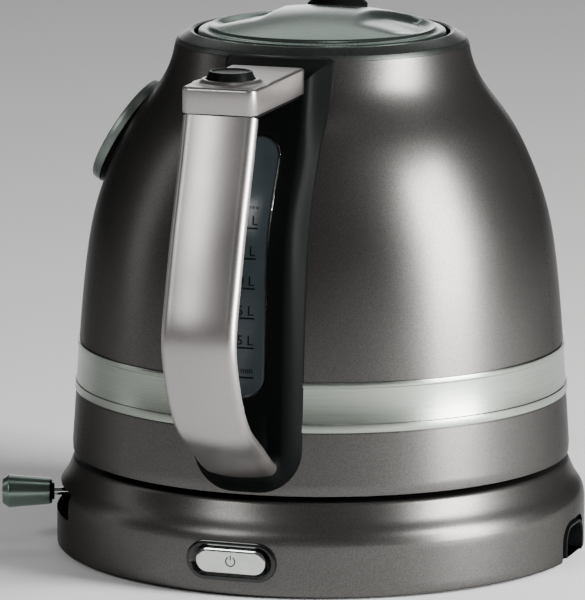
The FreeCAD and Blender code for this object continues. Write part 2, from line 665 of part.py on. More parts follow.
# ---- handle cap, release button and latch ----
cap_top = BODY_TOP - 0.3
cap_bottom = cap_top - CAP_H
cap_x0 = full[-2].x + 0.15
cap_x1 = BODY_R + CAP_REACH
cap_half = HANDLE_W / 2
cap_wall = 1.8
cap = Part.makeBox(cap_x1 - cap_x0, HANDLE_W, CAP_H, V(cap_x0, -cap_half, cap_bottom))
corner_edges = [e for e in cap.Edges if e.BoundBox.ZLength > CAP_H - 0.1 and e.BoundBox.XMin > cap_x1 - 1]
cap = cap.makeFillet(CAP_CORNER, corner_edges)
top_edges = [e for e in cap.Edges if e.BoundBox.ZLength < 0.01 and e.BoundBox.ZMin > cap_top - 0.1
             and e.BoundBox.XMax > cap_x0 + 0.1]
cap = cap.makeFillet(CAP_EDGE, top_edges)
cavity = Part.makeBox(cap_x1 - cap_x0 - 2 * cap_wall, HANDLE_W - 4 * cap_wall, CAP_H - 2 * cap_wall,
                      V(cap_x0 - cap_wall, -cap_half + 2 * cap_wall, cap_bottom + cap_wall))
cap = cap.cut(cavity)
release_x = cap_x1 - 16.5
cap = cap.cut(Part.makeCylinder(RELEASE_R + CLEAR, 10, V(release_x, 0, cap_bottom + cap_wall)))
save("handle_cap", cap.cut(spine))

collar = Part.makeCylinder(RELEASE_R + 2.4, 1.1, V(release_x, 0, cap_top))
collar = collar.cut(Part.makeCylinder(RELEASE_R + CLEAR, 3, V(release_x, 0, cap_top - 1)))
save("button_collar", collar)
key_bottom = latch_z + LATCH_T / 2 + RELEASE_TRAVEL + CLEAR
key = Part.makeCylinder(RELEASE_R, cap_top + 1.2 - key_bottom, V(release_x, 0, key_bottom))
key = key.fuse(Part.makeCone(RELEASE_R, RELEASE_TOP_R, 3.4, V(release_x, 0, cap_top + 1.2)))
dish = Part.makeSphere(40.0, V(release_x, 0, cap_top + 4.6 + 39.3))
key = key.cut(dish)

# the button's wedge pushes the latch back towards the handle
wedge_x0 = release_x - 6.0
wedge_x1 = release_x - 2.0
drop = key_bottom - (latch_z - LATCH_T / 2)


def wedge(x_shift, deep, width):
    """A block whose +X side leans by the latch's share of the button's travel."""
    lean = deep * LATCH_SHARE
    side = -width / 2
    near = wedge_x0 + x_shift - lean
    far = wedge_x1 + x_shift
    corners = [V(near, side, key_bottom - deep), V(far - lean, side, key_bottom - deep),
               V(far, side, key_bottom + 0.2), V(near, side, key_bottom + 0.2)]
    return Part.Face(Part.makePolygon(corners + [corners[0]])).extrude(V(0, width, 0))


wedge_w = 3.0
key = key.fuse(wedge(0.0, drop, wedge_w)).removeSplitter()
save("release_button", key)
latch_tip = ring_in + 0.4
latch_end = wedge_x1 + 2.8           # the latch runs a little past the wedge
latch_corner = V(latch_tip, -LATCH_W / 2, latch_z - LATCH_T / 2)
latch = Part.makeBox(latch_end - latch_tip, LATCH_W, LATCH_T, latch_corner)
window_w = wedge_w + 2 * CLEAR
window = wedge(CLEAR, drop + 4.0, window_w)
room = Part.makeBox(5.5, window_w, 20, V(wedge_x0 - 6.0, -window_w / 2, latch_z - 10))
save("release_latch", latch.cut(window).cut(room))

coil_r = 2.4
wire_r = 0.4
coil = Part.makeHelix(1.3, key_bottom - cap_bottom - cap_wall - 2 * wire_r - 0.2, coil_r)
section = Part.Wire(Part.makeCircle(wire_r, V(coil_r, 0, 0), V(0, 1, 0)))
spring = Part.Wire(coil.Edges).makePipeShell([section], True, True)
spring_x = release_x + 5.2
spring.translate(V(spring_x, 0, cap_bottom + cap_wall + wire_r + 0.1))
save("release_spring", spring)

# ---- grip, its liner and its foot ----
GRIP = ((34.5, 155.4), (42.0, 133.8), (49.8, 112.7), (58.0, 87.0), (61.6, 69.5), (57.6, 53.2),
        (48.8, 37.3), (39.0, 27.8), (24.6, 18.9), (14.0, 12.0), (6.0, 8.0))   # (past BODY_R, height)
grip_curve = Part.BSplineCurve()
grip_curve.interpolate([V(BODY_R + reach, 0, up(h)) for reach, h in GRIP])


def grip_points(depth, count=16):
    first, last = grip_curve.FirstParameter, grip_curve.LastParameter
    points = []
    for i in range(count):
        u = first + (last - first) * i / (count - 1)
        at = grip_curve.value(u)
        along = grip_curve.tangent(u)[0]
        points.append(V(at.x + along.z * depth, 0, at.z - along.x * depth))
    return points


def grip_slab(near, far, width):
    outer = spline(grip_points(near)) if near else grip_curve.toShape()
    a = grip_points(near)
    b = grip_points(far)
    face = Part.Face(Part.Wire([outer, line(a[-1], b[-1]), spline(b), line(b[0], a[0])]))
    slab = face.extrude(V(0, width, 0))
    slab.translate(V(0, -width / 2, 0))
    return slab


above = Part.makeBox(200, 100, 100, V(0, -50, cap_bottom - FIT))
grip = grip_slab(0.0, GRIP_T, HANDLE_W).cut(above)
grip = grip.makeFillet(GRIP_EDGE, [e for e in grip.Edges if e.Length > 100 and
                             abs(e.CenterOfMass.x - grip_curve.toShape().CenterOfMass.x) < 1.5])
save("handle_grip", grip)
liner_bottom = cap_bottom - FIT - LINER_T
liner_w = HANDLE_W - 2.4
liner = grip_slab(GRIP_T + FIT, GRIP_T + LINER_T, liner_w).cut(above)
under_end = grip_points(GRIP_T + 1.0)[0].x - 1.0
under = Part.makeBox(under_end - cap_x0, liner_w, LINER_T, V(cap_x0, -liner_w / 2, liner_bottom))
save("handle_liner", liner.fuse(under).cut(spine).removeSplitter())

foot_front = BODY_R + GRIP[-1][0]
foot_w = HANDLE_W - 2.0
foot_corner = V(foot_front - 12.2, -foot_w / 2, up(1.2))
foot_block = Part.makeBox(12, foot_w, up(15.4) - up(1.2), foot_corner)
foot_block = foot_block.cut(body_solid).cut(spine)
room_for_grip = grip_slab(-0.4, GRIP_T + LINER_T + 0.4, HANDLE_W + 4)
foot_block = foot_block.cut(room_for_grip)
save("handle_foot", max(foot_block.Solids, key=lambda solid: solid.Volume))

# ---- gauge ----
tilt = math.radians(GAUGE_TILT)
gauge_n = V(0, -math.cos(tilt), math.sin(tilt))
gauge_wall = wall_r(up(GAUGE_UP))
gauge_c = V(0, -gauge_wall, up(GAUGE_UP)) + gauge_n * GAUGE_PROUD


def disc(radius, s0, s1):
    return Part.makeCylinder(radius, s1 - s0, gauge_c + gauge_n * s0, gauge_n)


lens_rise = 3.0
lens_r = GAUGE_R - 2.2
dome_r = (lens_r ** 2 + lens_rise ** 2) / (2 * lens_rise)


def dome(radius, lift):
    return Part.makeSphere(radius, gauge_c + gauge_n * (lift - radius))


cup_r = GAUGE_R - 0.6
housing = disc(cup_r, -10.0, -1.0).cut(vessel_solid(-CLEAR))
outer_shell = outer_shell.cut(disc(cup_r + FIT, -12.0, 6.0))
housing = housing.cut(disc(lens_r - 0.8, -3.6, 5.0))
save("gauge_housing", max(housing.Solids, key=lambda solid: solid.Volume))
bezel = disc(GAUGE_R, -3.2, 1.0).cut(disc(cup_r + FIT, -5.0, -1.0))
bezel = bezel.cut(disc(lens_r - 0.5, -2.0, 3.0)).cut(body_solid)
save("gauge_bezel", bezel)
save("gauge_dial", disc(lens_r - 0.9, -3.6, -3.0).cut(disc(0.9, -5, 0)))
lens = dome(dome_r, 0.2 + lens_rise).cut(dome(dome_r, lens_rise - 0.8))
lens = lens.common(disc(lens_r - 0.55, -0.9, 8.0))
save("gauge_lens", max(lens.Solids, key=lambda solid: solid.Volume))
gauge_pin_r = 0.85
save("gauge_pin", disc(gauge_pin_r, -3.6, -0.9))
across = V(1, 0, 0)
upward = gauge_n.cross(across)
needle = disc(2.2, -2.6, -1.5)
pointer = Part.Face(Part.makePolygon([
    gauge_c + gauge_n * -2.3 + across * a + upward * b
    for a, b in ((-0.8, -5), (0.8, -5), (0.3, NEEDLE_LENGTH), (-0.3, NEEDLE_LENGTH), (-0.8, -5))]))
needle = needle.fuse(pointer.extrude(gauge_n * 0.5))
needle = needle.cut(disc(gauge_pin_r + PIN_PLAY, -5, 1)).removeSplitter()
needle.rotate(gauge_c, gauge_n, 120.0)     # points at the cold end of the dial
save("gauge_needle", needle)

save("outer_shell", outer_shell)

print("nodes", len(PARTS))
for name, shape in PARTS.items():
    if not shape.isValid() or shape.Volume <= 0:
        print("bad", name)
print("hinge", round(hinge_x, 3), round(hinge_z, 3), "gauge", [round(c, 3) for c in gauge_c],
      "spout root", [round(c, 2) for c in spout_root], "release", round(release_x, 2))
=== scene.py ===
import bmesh
import bpy
import json
import math
import numpy as np
from mathutils import Matrix, Vector


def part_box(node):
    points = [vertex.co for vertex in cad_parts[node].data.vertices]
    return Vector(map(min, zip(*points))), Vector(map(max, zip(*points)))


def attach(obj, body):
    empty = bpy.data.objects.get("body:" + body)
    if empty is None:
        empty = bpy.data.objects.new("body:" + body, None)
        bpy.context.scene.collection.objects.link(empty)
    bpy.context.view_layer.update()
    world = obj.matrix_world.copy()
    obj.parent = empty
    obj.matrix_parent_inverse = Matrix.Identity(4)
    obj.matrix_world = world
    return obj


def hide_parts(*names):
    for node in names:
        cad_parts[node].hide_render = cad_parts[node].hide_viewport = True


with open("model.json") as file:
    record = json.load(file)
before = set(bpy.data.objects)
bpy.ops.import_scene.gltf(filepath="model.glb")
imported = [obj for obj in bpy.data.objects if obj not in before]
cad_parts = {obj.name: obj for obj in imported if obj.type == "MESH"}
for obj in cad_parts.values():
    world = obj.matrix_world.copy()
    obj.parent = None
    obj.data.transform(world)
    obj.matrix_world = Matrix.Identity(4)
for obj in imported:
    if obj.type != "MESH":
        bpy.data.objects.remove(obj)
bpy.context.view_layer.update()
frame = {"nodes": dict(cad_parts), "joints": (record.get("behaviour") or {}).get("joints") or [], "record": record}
mm = 0.001

# the electric kettle: +X is the handle, -X the spout, -Y the thermometer and the lever
joints = {joint["name"]: joint for joint in frame["joints"]}
boxLow, boxHigh = {}, {}
for nodeName in frame["nodes"]:
    boxLow[nodeName], boxHigh[nodeName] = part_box(nodeName)


# small helpers
def linearColour(hexText, alpha=1.0):
    channels = []
    for i in (1, 3, 5):
        c = int(hexText[i:i + 2], 16) / 255
        channels.append(c / 12.92 if c <= 0.04045 else ((c + 0.055) / 1.055) ** 2.4)
    return (*channels, alpha)


def addNode(tree, kind, settings=None, inputs=None):
    # inputs maps a socket's name or number to a value or to another node's output.
    node = tree.nodes.new(kind)
    for name, value in (settings or {}).items():
        setattr(node, name, value)
    for key, value in (inputs or {}).items():
        if isinstance(value, bpy.types.NodeSocket):
            tree.links.new(value, node.inputs[key])
        else:
            node.inputs[key].default_value = value
    return node


def surface(name, dark, light, rough, d, **constants):
    # a fine grain drives the small relief, a broad cloud drives the sheen; d holds their sizes in millimetres
    material = bpy.data.materials.new(name)
    material.use_nodes = True
    tree = material.node_tree
    shader = tree.nodes["Principled BSDF"]
    for key, value in constants.items():
        shader.inputs[key.replace("_", " ")].default_value = value
    coords = addNode(tree, "ShaderNodeTexCoord").outputs["Object"]
    fine, along = d.get("grain", 0.5), d.get("along", ())
    scale = [1 / ((28 if axis in along else fine) * mm) for axis in range(3)]
    stretched = addNode(tree, "ShaderNodeMapping", None, {"Vector": coords, "Scale": scale}).outputs[0]
    grain = addNode(tree, "ShaderNodeTexNoise", None,
                    {"Vector": stretched, "Scale": 1.0, "Detail": d.get("detail", 2.0)}).outputs["Fac"]
    cloud = addNode(tree, "ShaderNodeTexNoise", None,
                    {"Vector": coords, "Scale": 1 / (d.get("cloud", 30) * mm), "Detail": 2.0}).outputs["Fac"]
    share = addNode(tree, "ShaderNodeMapRange", None,
                    {"Value": grain, "From Min": 0.3, "From Max": 0.7}).outputs[0]
    mix = addNode(tree, "ShaderNodeMix", {"data_type": "RGBA"},
                  {0: share, 6: linearColour(dark), 7: linearColour(light)}).outputs[2]
    sheen = addNode(tree, "ShaderNodeMapRange", None,
                    {"Value": cloud, "From Min": 0.3, "From Max": 0.7,
                     "To Min": rough - 0.03, "To Max": rough + 0.03}).outputs[0]
    tree.links.new(mix, shader.inputs["Base Color"])
    tree.links.new(sheen, shader.inputs["Roughness"])
    if d.get("relief", 0) > 0:
        relief = addNode(tree, "ShaderNodeBump", None,
                         {"Height": grain, "Strength": d["relief"], "Distance": d.get("depth", 0.03) * mm}).outputs[0]
        tree.links.new(relief, shader.inputs["Normal"])
    return material


# sprayed metallic lacquer over steel: dark warm grey with soft wide highlights under a thin clear coat
paint = surface("pewter metallic lacquer", "#4b4a48", "#605e5c", 0.30,
                {"grain": 0.45, "cloud": 60, "relief": 0.04, "depth": 0.02, "detail": 1.0},
                Metallic=0.94, Coat_Weight=0.12, Coat_Roughness=0.2,
                Specular_Tint=linearColour("#8c8c8c"))
# belt-brushed stainless steel: fine streaks round the body that draw the highlights out
bandSteel = surface("brushed stainless band", "#8d948b", "#a4aaa1", 0.25,
                    {"grain": 0.12, "along": (0, 1), "relief": 0.25, "depth": 0.02, "detail": 3.0}, Metallic=1.0)
# satin stainless lid: even greenish grey with a soft bright rim
lidSteel = surface("satin stainless lid", "#77867e", "#87968e", 0.27,
                   {"grain": 0.2, "along": (1,), "relief": 0.04, "depth": 0.02, "detail": 3.0}, Metallic=1.0)
# spun stainless inside: turned lines seen down the neck
vesselSteel = surface("spun stainless vessel", "#a3a5a0", "#b6b8b2", 0.30,
                      {"grain": 0.3, "along": (0, 1), "relief": 0.25, "depth": 0.02}, Metallic=1.0)
# drawn steel of screws and springs: plain bright grey
wireSteel = surface("drawn steel", "#8e9092", "#a2a4a6", 0.30, {"grain": 0.3, "along": (2,), "relief": 0.2},
                    Metallic=1.0)
# blasted and anodised aluminium: even pale grey without lines
aluminium = surface("satin anodised aluminium", "#9c9896", "#aaa6a4", 0.33,
                    {"grain": 0.35, "cloud": 35, "relief": 0.10, "depth": 0.02}, Metallic=1.0)
# moulded nylon with a spark-eroded grain: dull sheen that breaks up slightly
blackPlastic = surface("black moulded nylon", "#090a0a", "#0e0f0f", 0.36, {"grain": 0.5, "relief": 0.15},
                       Specular_IOR_Level=0.02)
# painted shade for the cut faces inside the slot, button and cord openings: dead black, without the sheen at a flat
# angle, standing in for the shadow in them
openingPaintedShade = surface("painted shade inside openings", "#060606", "#0a0a0a", 0.9, {"grain": 1.0}, IOR=1.03)
# polished acrylic: black with clear reflections
glossBlack = surface("black gloss acrylic", "#070808", "#0b0c0c", 0.16, {"grain": 2.0, "relief": 0.03})
# dark grey metal ring: its dark base colour is a painted dark reflection of the surroundings, a dim mirror round the
# lid
ringPaintedReflection = surface("neck ring metal with painted dark reflection", "#474b48", "#525653", 0.33, {"grain": 1.5, "relief": 0.04},
                     Metallic=0.95)
# moulded acetal: plain mid grey of the hidden carriers
greyPlastic = surface("grey moulded acetal", "#4b4f51", "#5a5e60", 0.45, {"grain": 0.5, "relief": 0.2})
# silicone rubber: black and almost without shine
rubber = surface("black silicone rubber", "#151515", "#1c1c1c", 0.68, {"grain": 0.8, "relief": 0.4})
# bright chrome over moulded plastic: mirror-like with faint waviness
chrome = surface("bright chrome plate", "#c3c8c3", "#d2d6d1", 0.13, {"grain": 6.0}, Metallic=1.0)
# blasted steel of the dial's rim: mid grey with a fine dull grain
satinSteel = surface("blasted stainless rim", "#6d746f", "#7c837e", 0.42, {"grain": 0.25, "relief": 0.12},
                     Metallic=1.0)
# tinted styrene, close to opaque: a blue grey strip, little of the backing shows through
windowPlastic = surface("blue grey styrene window", "#2e3437", "#343b3e", 0.14, {"grain": 18.0},
                        IOR=1.5, Transmission_Weight=0.1, Specular_IOR_Level=0.3)
# clear mineral glass: the dial shows straight through
dialGlass = surface("clear mineral glass", "#f2f5f5", "#fbfdfd", 0.04, {"grain": 18.0}, IOR=1.5,
                    Transmission_Weight=1.0, Alpha=0.14)
# white printed card: plain and matt
dialFace = surface("white printed dial", "#dcdcd8", "#e6e6e2", 0.55, {"grain": 1.0, "relief": 0.05})
# red lacquer on the needle: the only strong colour
needleRed = surface("red lacquered needle", "#9c1812", "#ad2219", 0.40, {"grain": 1.0, "relief": 0.05})
# glass-epoxy board under solder mask: green with a fine weave
boardGreen = surface("green solder mask", "#12482c", "#1d5a39", 0.35, {"grain": 1.2, "relief": 0.3})
# pad-printed inks: flat and very slightly uneven
inkDark = surface("dark printed ink", "#060707", "#0c0d0d", 0.60, {"grain": 1.2}, Specular_IOR_Level=0.05)
inkPale = surface("pale printed ink", "#a9aeab", "#bcc0bd", 0.55, {"grain": 1.2})

slotFinish = {
    "pewter_paint": paint, "brushed_band": bandSteel, "lid_steel": lidSteel, "satin_aluminium": aluminium,
    "black_plastic": blackPlastic, "dark_ring": ringPaintedReflection, "chrome_trim": chrome, "vessel_steel": vesselSteel,
    "window_plastic": windowPlastic, "dial_glass": dialGlass, "dial_face": dialFace, "needle_red": needleRed,
    "grey_plastic": greyPlastic, "board_green": boardGreen, "rubber": rubber}
for entry in frame["record"]["subparts"]:
    cadObject = frame["nodes"][entry["node"]]
    cadObject.data.materials.clear()
    cadObject.data.materials.append(slotFinish[entry["material_slot"]])
for nodeName, finish in (("base_screws", wireSteel), ("kettle_screws", wireSteel), ("release_spring", wireSteel),
                         ("slot_plate", blackPlastic)):
    frame["nodes"][nodeName].data.materials[0] = finish
print("materials done")


# mesh helpers
def addPiece(name, vertices, faces, material, smoothAngle=35.0):
    mesh = bpy.data.meshes.new(name)
    mesh.from_pydata([tuple(v) for v in vertices], [], faces)
    return finishMesh(name, mesh, material, smoothAngle)


def finishMesh(name, mesh, material, smoothAngle=35.0):
    builder = bmesh.new()
    builder.from_mesh(mesh)
    bmesh.ops.remove_doubles(builder, verts=builder.verts, dist=0.002 * mm)
    rims = [edge for edge in builder.edges if edge.is_boundary]
    bmesh.ops.holes_fill(builder, edges=rims, sides=0)
    bmesh.ops.recalc_face_normals(builder, faces=builder.faces)
    builder.to_mesh(mesh)
    builder.free()
    mesh.materials.clear()
    mesh.materials.append(material)
    mesh.shade_smooth()
    mesh.set_sharp_from_angle(angle=math.radians(smoothAngle))
    piece = bpy.data.objects.new(name, mesh)
    bpy.context.scene.collection.objects.link(piece)
    return piece


def seat(piece, body, slot, *nodes):
    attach(piece, body)
    if nodes:
        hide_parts(*nodes)
    return piece


def cubicThrough(points, count):
    # A natural cubic through the points, spaced by chord length.
    points = np.array(points, float)
    steps = np.linalg.norm(np.diff(points, axis=0), axis=1)
    t = np.concatenate([[0.0], np.cumsum(steps)])
    n = len(points)
    matrix, right = np.zeros((n, n)), np.zeros((n, points.shape[1]))
    matrix[0, 0] = matrix[-1, -1] = 1.0
    for i in range(1, n - 1):
        matrix[i, i - 1:i + 2] = steps[i - 1], 2 * (steps[i - 1] + steps[i]), steps[i]
        right[i] = 6 * ((points[i + 1] - points[i]) / steps[i] - (points[i] - points[i - 1]) / steps[i - 1])
    bend = np.linalg.solve(matrix, right)
    result = []
    for s in np.linspace(0.0, t[-1], count):
        i = min(max(int(np.searchsorted(t, s)) - 1, 0), n - 2)
        a, b, h = (t[i + 1] - s), (s - t[i]), steps[i]
        result.append((bend[i] * a ** 3 + bend[i + 1] * b ** 3) / (6 * h)
                      + (points[i] / h - bend[i] * h / 6) * a + (points[i + 1] / h - bend[i + 1] * h / 6) * b)
    return np.array(result)


def rounded(corners, arcSteps=5):
    # An outline from (r, z, radius) corners, each corner turned by an arc.
    outline = []
    for i, (r, z, radius) in enumerate(corners):
        if radius <= 0 or i in (0, len(corners) - 1):
            outline.append((r, z))
            continue
        here = Vector((r, z))
        back = (Vector(corners[i - 1][:2]) - here).normalized()
        ahead = (Vector(corners[i + 1][:2]) - here).normalized()
        half = math.acos(max(-1.0, min(1.0, back.dot(ahead)))) / 2
        reach = radius / math.tan(half)
        centre = here + (back + ahead).normalized() * radius / math.sin(half)
        start, end = here + back * reach - centre, here + ahead * reach - centre
        turn = start.angle_signed(end)
        for step in range(arcSteps + 1):
            a = -turn * step / arcSteps
            outline.append((centre.x + start.x * math.cos(a) - start.y * math.sin(a),
                            centre.y + start.x * math.sin(a) + start.y * math.cos(a)))
    return outline


def openTree(treeName, sockets):
    # A geometry node group with a mesh and a finish going in, a mesh coming out, and the named sockets between.
    tree = bpy.data.node_groups.new(treeName, "GeometryNodeTree")
    tree.interface.new_socket("Geometry", in_out="INPUT", socket_type="NodeSocketGeometry")
    for name, kind, value in sockets:
        tree.interface.new_socket(name, in_out="INPUT", socket_type=kind).default_value = value
    tree.interface.new_socket("Finish", in_out="INPUT", socket_type="NodeSocketMaterial")
    tree.interface.new_socket("Geometry", in_out="OUTPUT", socket_type="NodeSocketGeometry")
    return tree, addNode(tree, "NodeGroupInput").outputs


def buildLatheTree():
    # Turns a chain of outline points about +Z: the rule behind every round piece of the kettle.
    tree, given = openTree("turnOutline", (
        ("Points", "NodeSocketInt", 10), ("Steps Round", "NodeSocketInt", 96),
        ("Start Angle", "NodeSocketFloat", 0.0), ("Turn", "NodeSocketFloat", 2 * math.pi)))
    columns = addNode(tree, "ShaderNodeMath", {"operation": "ADD"}, {0: given["Steps Round"], 1: 1.0}).outputs[0]
    grid = addNode(tree, "GeometryNodeMeshGrid", None, {"Vertices X": columns, "Vertices Y": given["Points"]})
    index = addNode(tree, "GeometryNodeInputIndex").outputs[0]
    row = addNode(tree, "ShaderNodeMath", {"operation": "MODULO"}, {0: index, 1: given["Points"]}).outputs[0]
    share = addNode(tree, "ShaderNodeMath", {"operation": "DIVIDE"}, {0: index, 1: given["Points"]}).outputs[0]
    column = addNode(tree, "ShaderNodeMath", {"operation": "FLOOR"}, {0: share}).outputs[0]
    portion = addNode(tree, "ShaderNodeMath", {"operation": "DIVIDE"}, {0: column, 1: given["Steps Round"]}).outputs[0]
    angle = addNode(tree, "ShaderNodeMath", {"operation": "MULTIPLY_ADD"},
                    {0: portion, 1: given["Turn"], 2: given["Start Angle"]}).outputs[0]
    place = addNode(tree, "GeometryNodeInputPosition").outputs[0]
    sample = addNode(tree, "GeometryNodeSampleIndex", {"data_type": "FLOAT_VECTOR"},
                     {0: given["Geometry"], "Value": place, "Index": row}).outputs[0]
    apart = addNode(tree, "ShaderNodeSeparateXYZ", None, {0: sample})
    cosine, sine = [addNode(tree, "ShaderNodeMath", {"operation": wave}, {0: angle}).outputs[0]
                    for wave in ("COSINE", "SINE")]
    x, y = [addNode(tree, "ShaderNodeMath", {"operation": "MULTIPLY"}, {0: apart.outputs[0], 1: wave}).outputs[0]
            for wave in (cosine, sine)]
    spot = addNode(tree, "ShaderNodeCombineXYZ", None, {0: x, 1: y, 2: apart.outputs[2]}).outputs[0]
    moved = addNode(tree, "GeometryNodeSetPosition", None, {"Geometry": grid.outputs[0], "Position": spot}).outputs[0]
    welded = addNode(tree, "GeometryNodeMergeByDistance", None,
                     {"Geometry": moved, "Distance": 0.002 * mm}).outputs[0]
    real = addNode(tree, "GeometryNodeRealizeInstances", None, {0: welded}).outputs[0]
    finished = addNode(tree, "GeometryNodeSetMaterial", None,
                       {"Geometry": real, "Material": given["Finish"]}).outputs[0]
    addNode(tree, "NodeGroupOutput", None, {0: finished})
    return tree


def grownMesh(name, seedMesh, tree, settings):
    # Runs a node tree on a seed mesh and gives back the plain mesh.
    seed = bpy.data.objects.new(name + "Seed", seedMesh)
    bpy.context.scene.collection.objects.link(seed)
    modifier = seed.modifiers.new("grow", "NODES")
    modifier.node_group = tree
    for item in tree.interface.items_tree:
        if item.in_out == "INPUT" and item.name in settings:
            modifier[item.identifier] = settings[item.name]
    depsgraph = bpy.context.evaluated_depsgraph_get()
    mesh = bpy.data.meshes.new_from_object(seed.evaluated_get(depsgraph))
    bpy.data.objects.remove(seed)
    return mesh


latheTree = buildLatheTree()


def turned(name, outline, material, steps=128, start=0.0, turn=360.0, place=None, smoothAngle=35.0):
    # A round piece from outline points (r, z) in millimetres, in its place.
    chain = bpy.data.meshes.new(name + "Outline")
    points = [(r * mm, 0.0, z * mm) for r, z in outline]
    chain.from_pydata(points, [(i, i + 1) for i in range(len(points) - 1)], [])
    mesh = grownMesh(name, chain, latheTree,
                     {"Points": len(points), "Steps Round": steps, "Start Angle": math.radians(start),
                      "Turn": math.radians(turn), "Finish": material})
    if place is not None:
        mesh.transform(place)
    mesh.name = name
    return finishMesh(name, mesh, material, smoothAngle)


def cutAway(piece, cutters):
    # Takes the cutters out of a piece and leaves a plain mesh.
    for cutter in cutters:
        modifier = piece.modifiers.new("cut", "BOOLEAN")
        modifier.operation = "DIFFERENCE"
        modifier.solver = "EXACT"
        modifier.material_mode = "TRANSFER"     # the cut faces keep the cutter's material
        modifier.object = cutter
    depsgraph = bpy.context.evaluated_depsgraph_get()
    mesh = bpy.data.meshes.new_from_object(piece.evaluated_get(depsgraph))
    piece.modifiers.clear()
    piece.data = mesh
    for cutter in cutters:
        bpy.data.objects.remove(cutter)
    mesh.shade_smooth()
    mesh.set_sharp_from_angle(angle=math.radians(35.0))
    return piece


def ringFaces(rings, count, closed=True):
    faces = []
    last = count if closed else count - 1
    for k in range(rings - 1):
        for i in range(last):
            j = (i + 1) % count
            faces.append((k * count + i, k * count + j, (k + 1) * count + j, (k + 1) * count + i))
    return faces


def uprightOutline(half, bottom, top, radiusLow, radiusHigh, inset, cornerSteps=10, sideSteps=40, endSteps=4):
    # Points (across, up) round an upright shape with rounded ends, from the bottom's middle.
    half, bottom, top = half - inset, bottom + inset, top - inset
    radiusLow = min(max(radiusLow - inset, 0.4), half)
    radiusHigh = min(max(radiusHigh - inset, 0.4), half)
    right = [((half - radiusLow) * i / endSteps, bottom) for i in range(endSteps)]
    for i in range(cornerSteps + 1):
        a = -math.pi / 2 + math.pi / 2 * i / cornerSteps
        right.append((half - radiusLow + radiusLow * math.cos(a), bottom + radiusLow + radiusLow * math.sin(a)))
    for i in range(1, sideSteps):
        right.append((half, bottom + radiusLow + (top - radiusHigh - bottom - radiusLow) * i / sideSteps))
    for i in range(cornerSteps + 1):
        a = math.pi / 2 * i / cornerSteps
        right.append((half - radiusHigh + radiusHigh * math.cos(a), top - radiusHigh + radiusHigh * math.sin(a)))
    right += [((half - radiusHigh) * (1 - i / endSteps), top) for i in range(1, endSteps + 1)]
    return right + [(-a, b) for a, b in reversed(right[1:-1])]


def layeredPiece(name, rings, material, fillLast=True, fillFirst=False, smoothAngle=35.0):
    # Skins a stack of rings with equal point counts. A filled ring is closed by strips across it.
    count = len(rings[0])
    vertices = [p for ring in rings for p in ring]
    faces = ringFaces(len(rings), count)
    for number, fill in ((len(rings) - 1, fillLast), (0, fillFirst)):
        if fill:
            base = number * count
            for i in range(count // 2):
                a, b = base + i, base + i + 1
                c, d = base + (count - i - 1) % count, base + (count - i) % count
                corners = []
                for corner in (a, b, c, d):
                    if corner not in corners:
                        corners.append(corner)
                if len(corners) > 2:
                    faces.append(tuple(corners))
    return addPiece(name, vertices, faces, material, smoothAngle)


def low(node):
    return [c / mm for c in boxLow[node]]


def high(node):
    return [c / mm for c in boxHigh[node]]


# kettle body
bodyShell = {
    "insets": ((0.0, 0), (1.1, 17), (3.0, 45), (5.9, 77), (9.3, 97), (16.0, 117), (26.6, 137),
               (37.9, 153), (40.9, 161), (41.9, 166)),      # set in from the foot's radius, height above it
    "wall": 1.6, "gap": 0.45, "gapDepth": 0.5}
bodyR, bodyLow, bodyTop = high("outer_shell")[0], low("outer_shell")[2], high("outer_shell")[2]
bodyCurve = cubicThrough([(bodyR - inset, bodyLow + h) for inset, h in bodyShell["insets"]], 121)
bandLow, bandHigh = low("trim_band")[2], high("trim_band")[2]


def wallRadius(z):
    return float(np.interp(z, bodyCurve[:, 1], bodyCurve[:, 0]))


def makeBodyShell():
    d = bodyShell
    neck = bodyCurve[-1][0]
    outline = [(bodyR - d["wall"], bodyLow + 0.6), (bodyR - 1.0, bodyLow + 0.1), (bodyR - 0.4, bodyLow)]
    for r, z in bodyCurve[2:]:
        if bandLow - d["gap"] - 0.2 < z < bandLow or bandHigh < z < bandHigh + d["gap"] + 0.2:
            continue
        if bandLow <= z <= bandHigh:
            continue
        outline.append((r, z))
        if len(outline) > 4 and outline[-2][1] < bandLow < z:
            outline.pop()
            shadowLow, shadowHigh = bandLow - d["gap"], bandHigh + d["gap"]
            outline += [(wallRadius(shadowLow), shadowLow), (wallRadius(shadowLow) - d["gapDepth"], shadowLow + 0.05),
                        (wallRadius(shadowHigh) - d["gapDepth"], shadowHigh - 0.05),
                        (wallRadius(shadowHigh), shadowHigh), (r, z)]
    outline += [(neck - 2.4, bodyTop)]
    inner = [(r - d["wall"], z) for r, z in bodyCurve[::-6] if bodyLow + 1 < z < bodyTop - 1]
    shell = turned("bodyShell", outline + inner + [outline[0]], paint, 192)
    return seat(shell, "kettle", "pewter_paint", "outer_shell")


def makeBand():
    # Flat steel band with a raised rail along each edge, left open behind the spine.
    d = {"railLow": 3.3, "railHigh": 2.0, "proud": 0.5, "strip": 0.05, "openHalf": 12.9}
    def at(z, proud):
        return wallRadius(z) + proud
    z0, z1 = bandLow, bandHigh
    z2, z3 = z0 + d["railLow"], z1 - d["railHigh"]
    outline = rounded([
        (at(z0, -0.7), z0, 0), (at(z0, d["proud"]), z0, 0.25), (at(z2, d["proud"]), z2, 0.2),
        (at(z2 + 0.3, d["strip"]), z2 + 0.3, 0.1), (at(z3 - 0.3, d["strip"]), z3 - 0.3, 0.1),
        (at(z3, d["proud"]), z3, 0.2), (at(z1, d["proud"]), z1, 0.25), (at(z1, -0.7), z1, 0)], 4)
    band = turned("trimBand", outline + [outline[0]], bandSteel, 180, d["openHalf"], 360 - 2 * d["openHalf"])
    return seat(band, "kettle", "brushed_band", "trim_band")


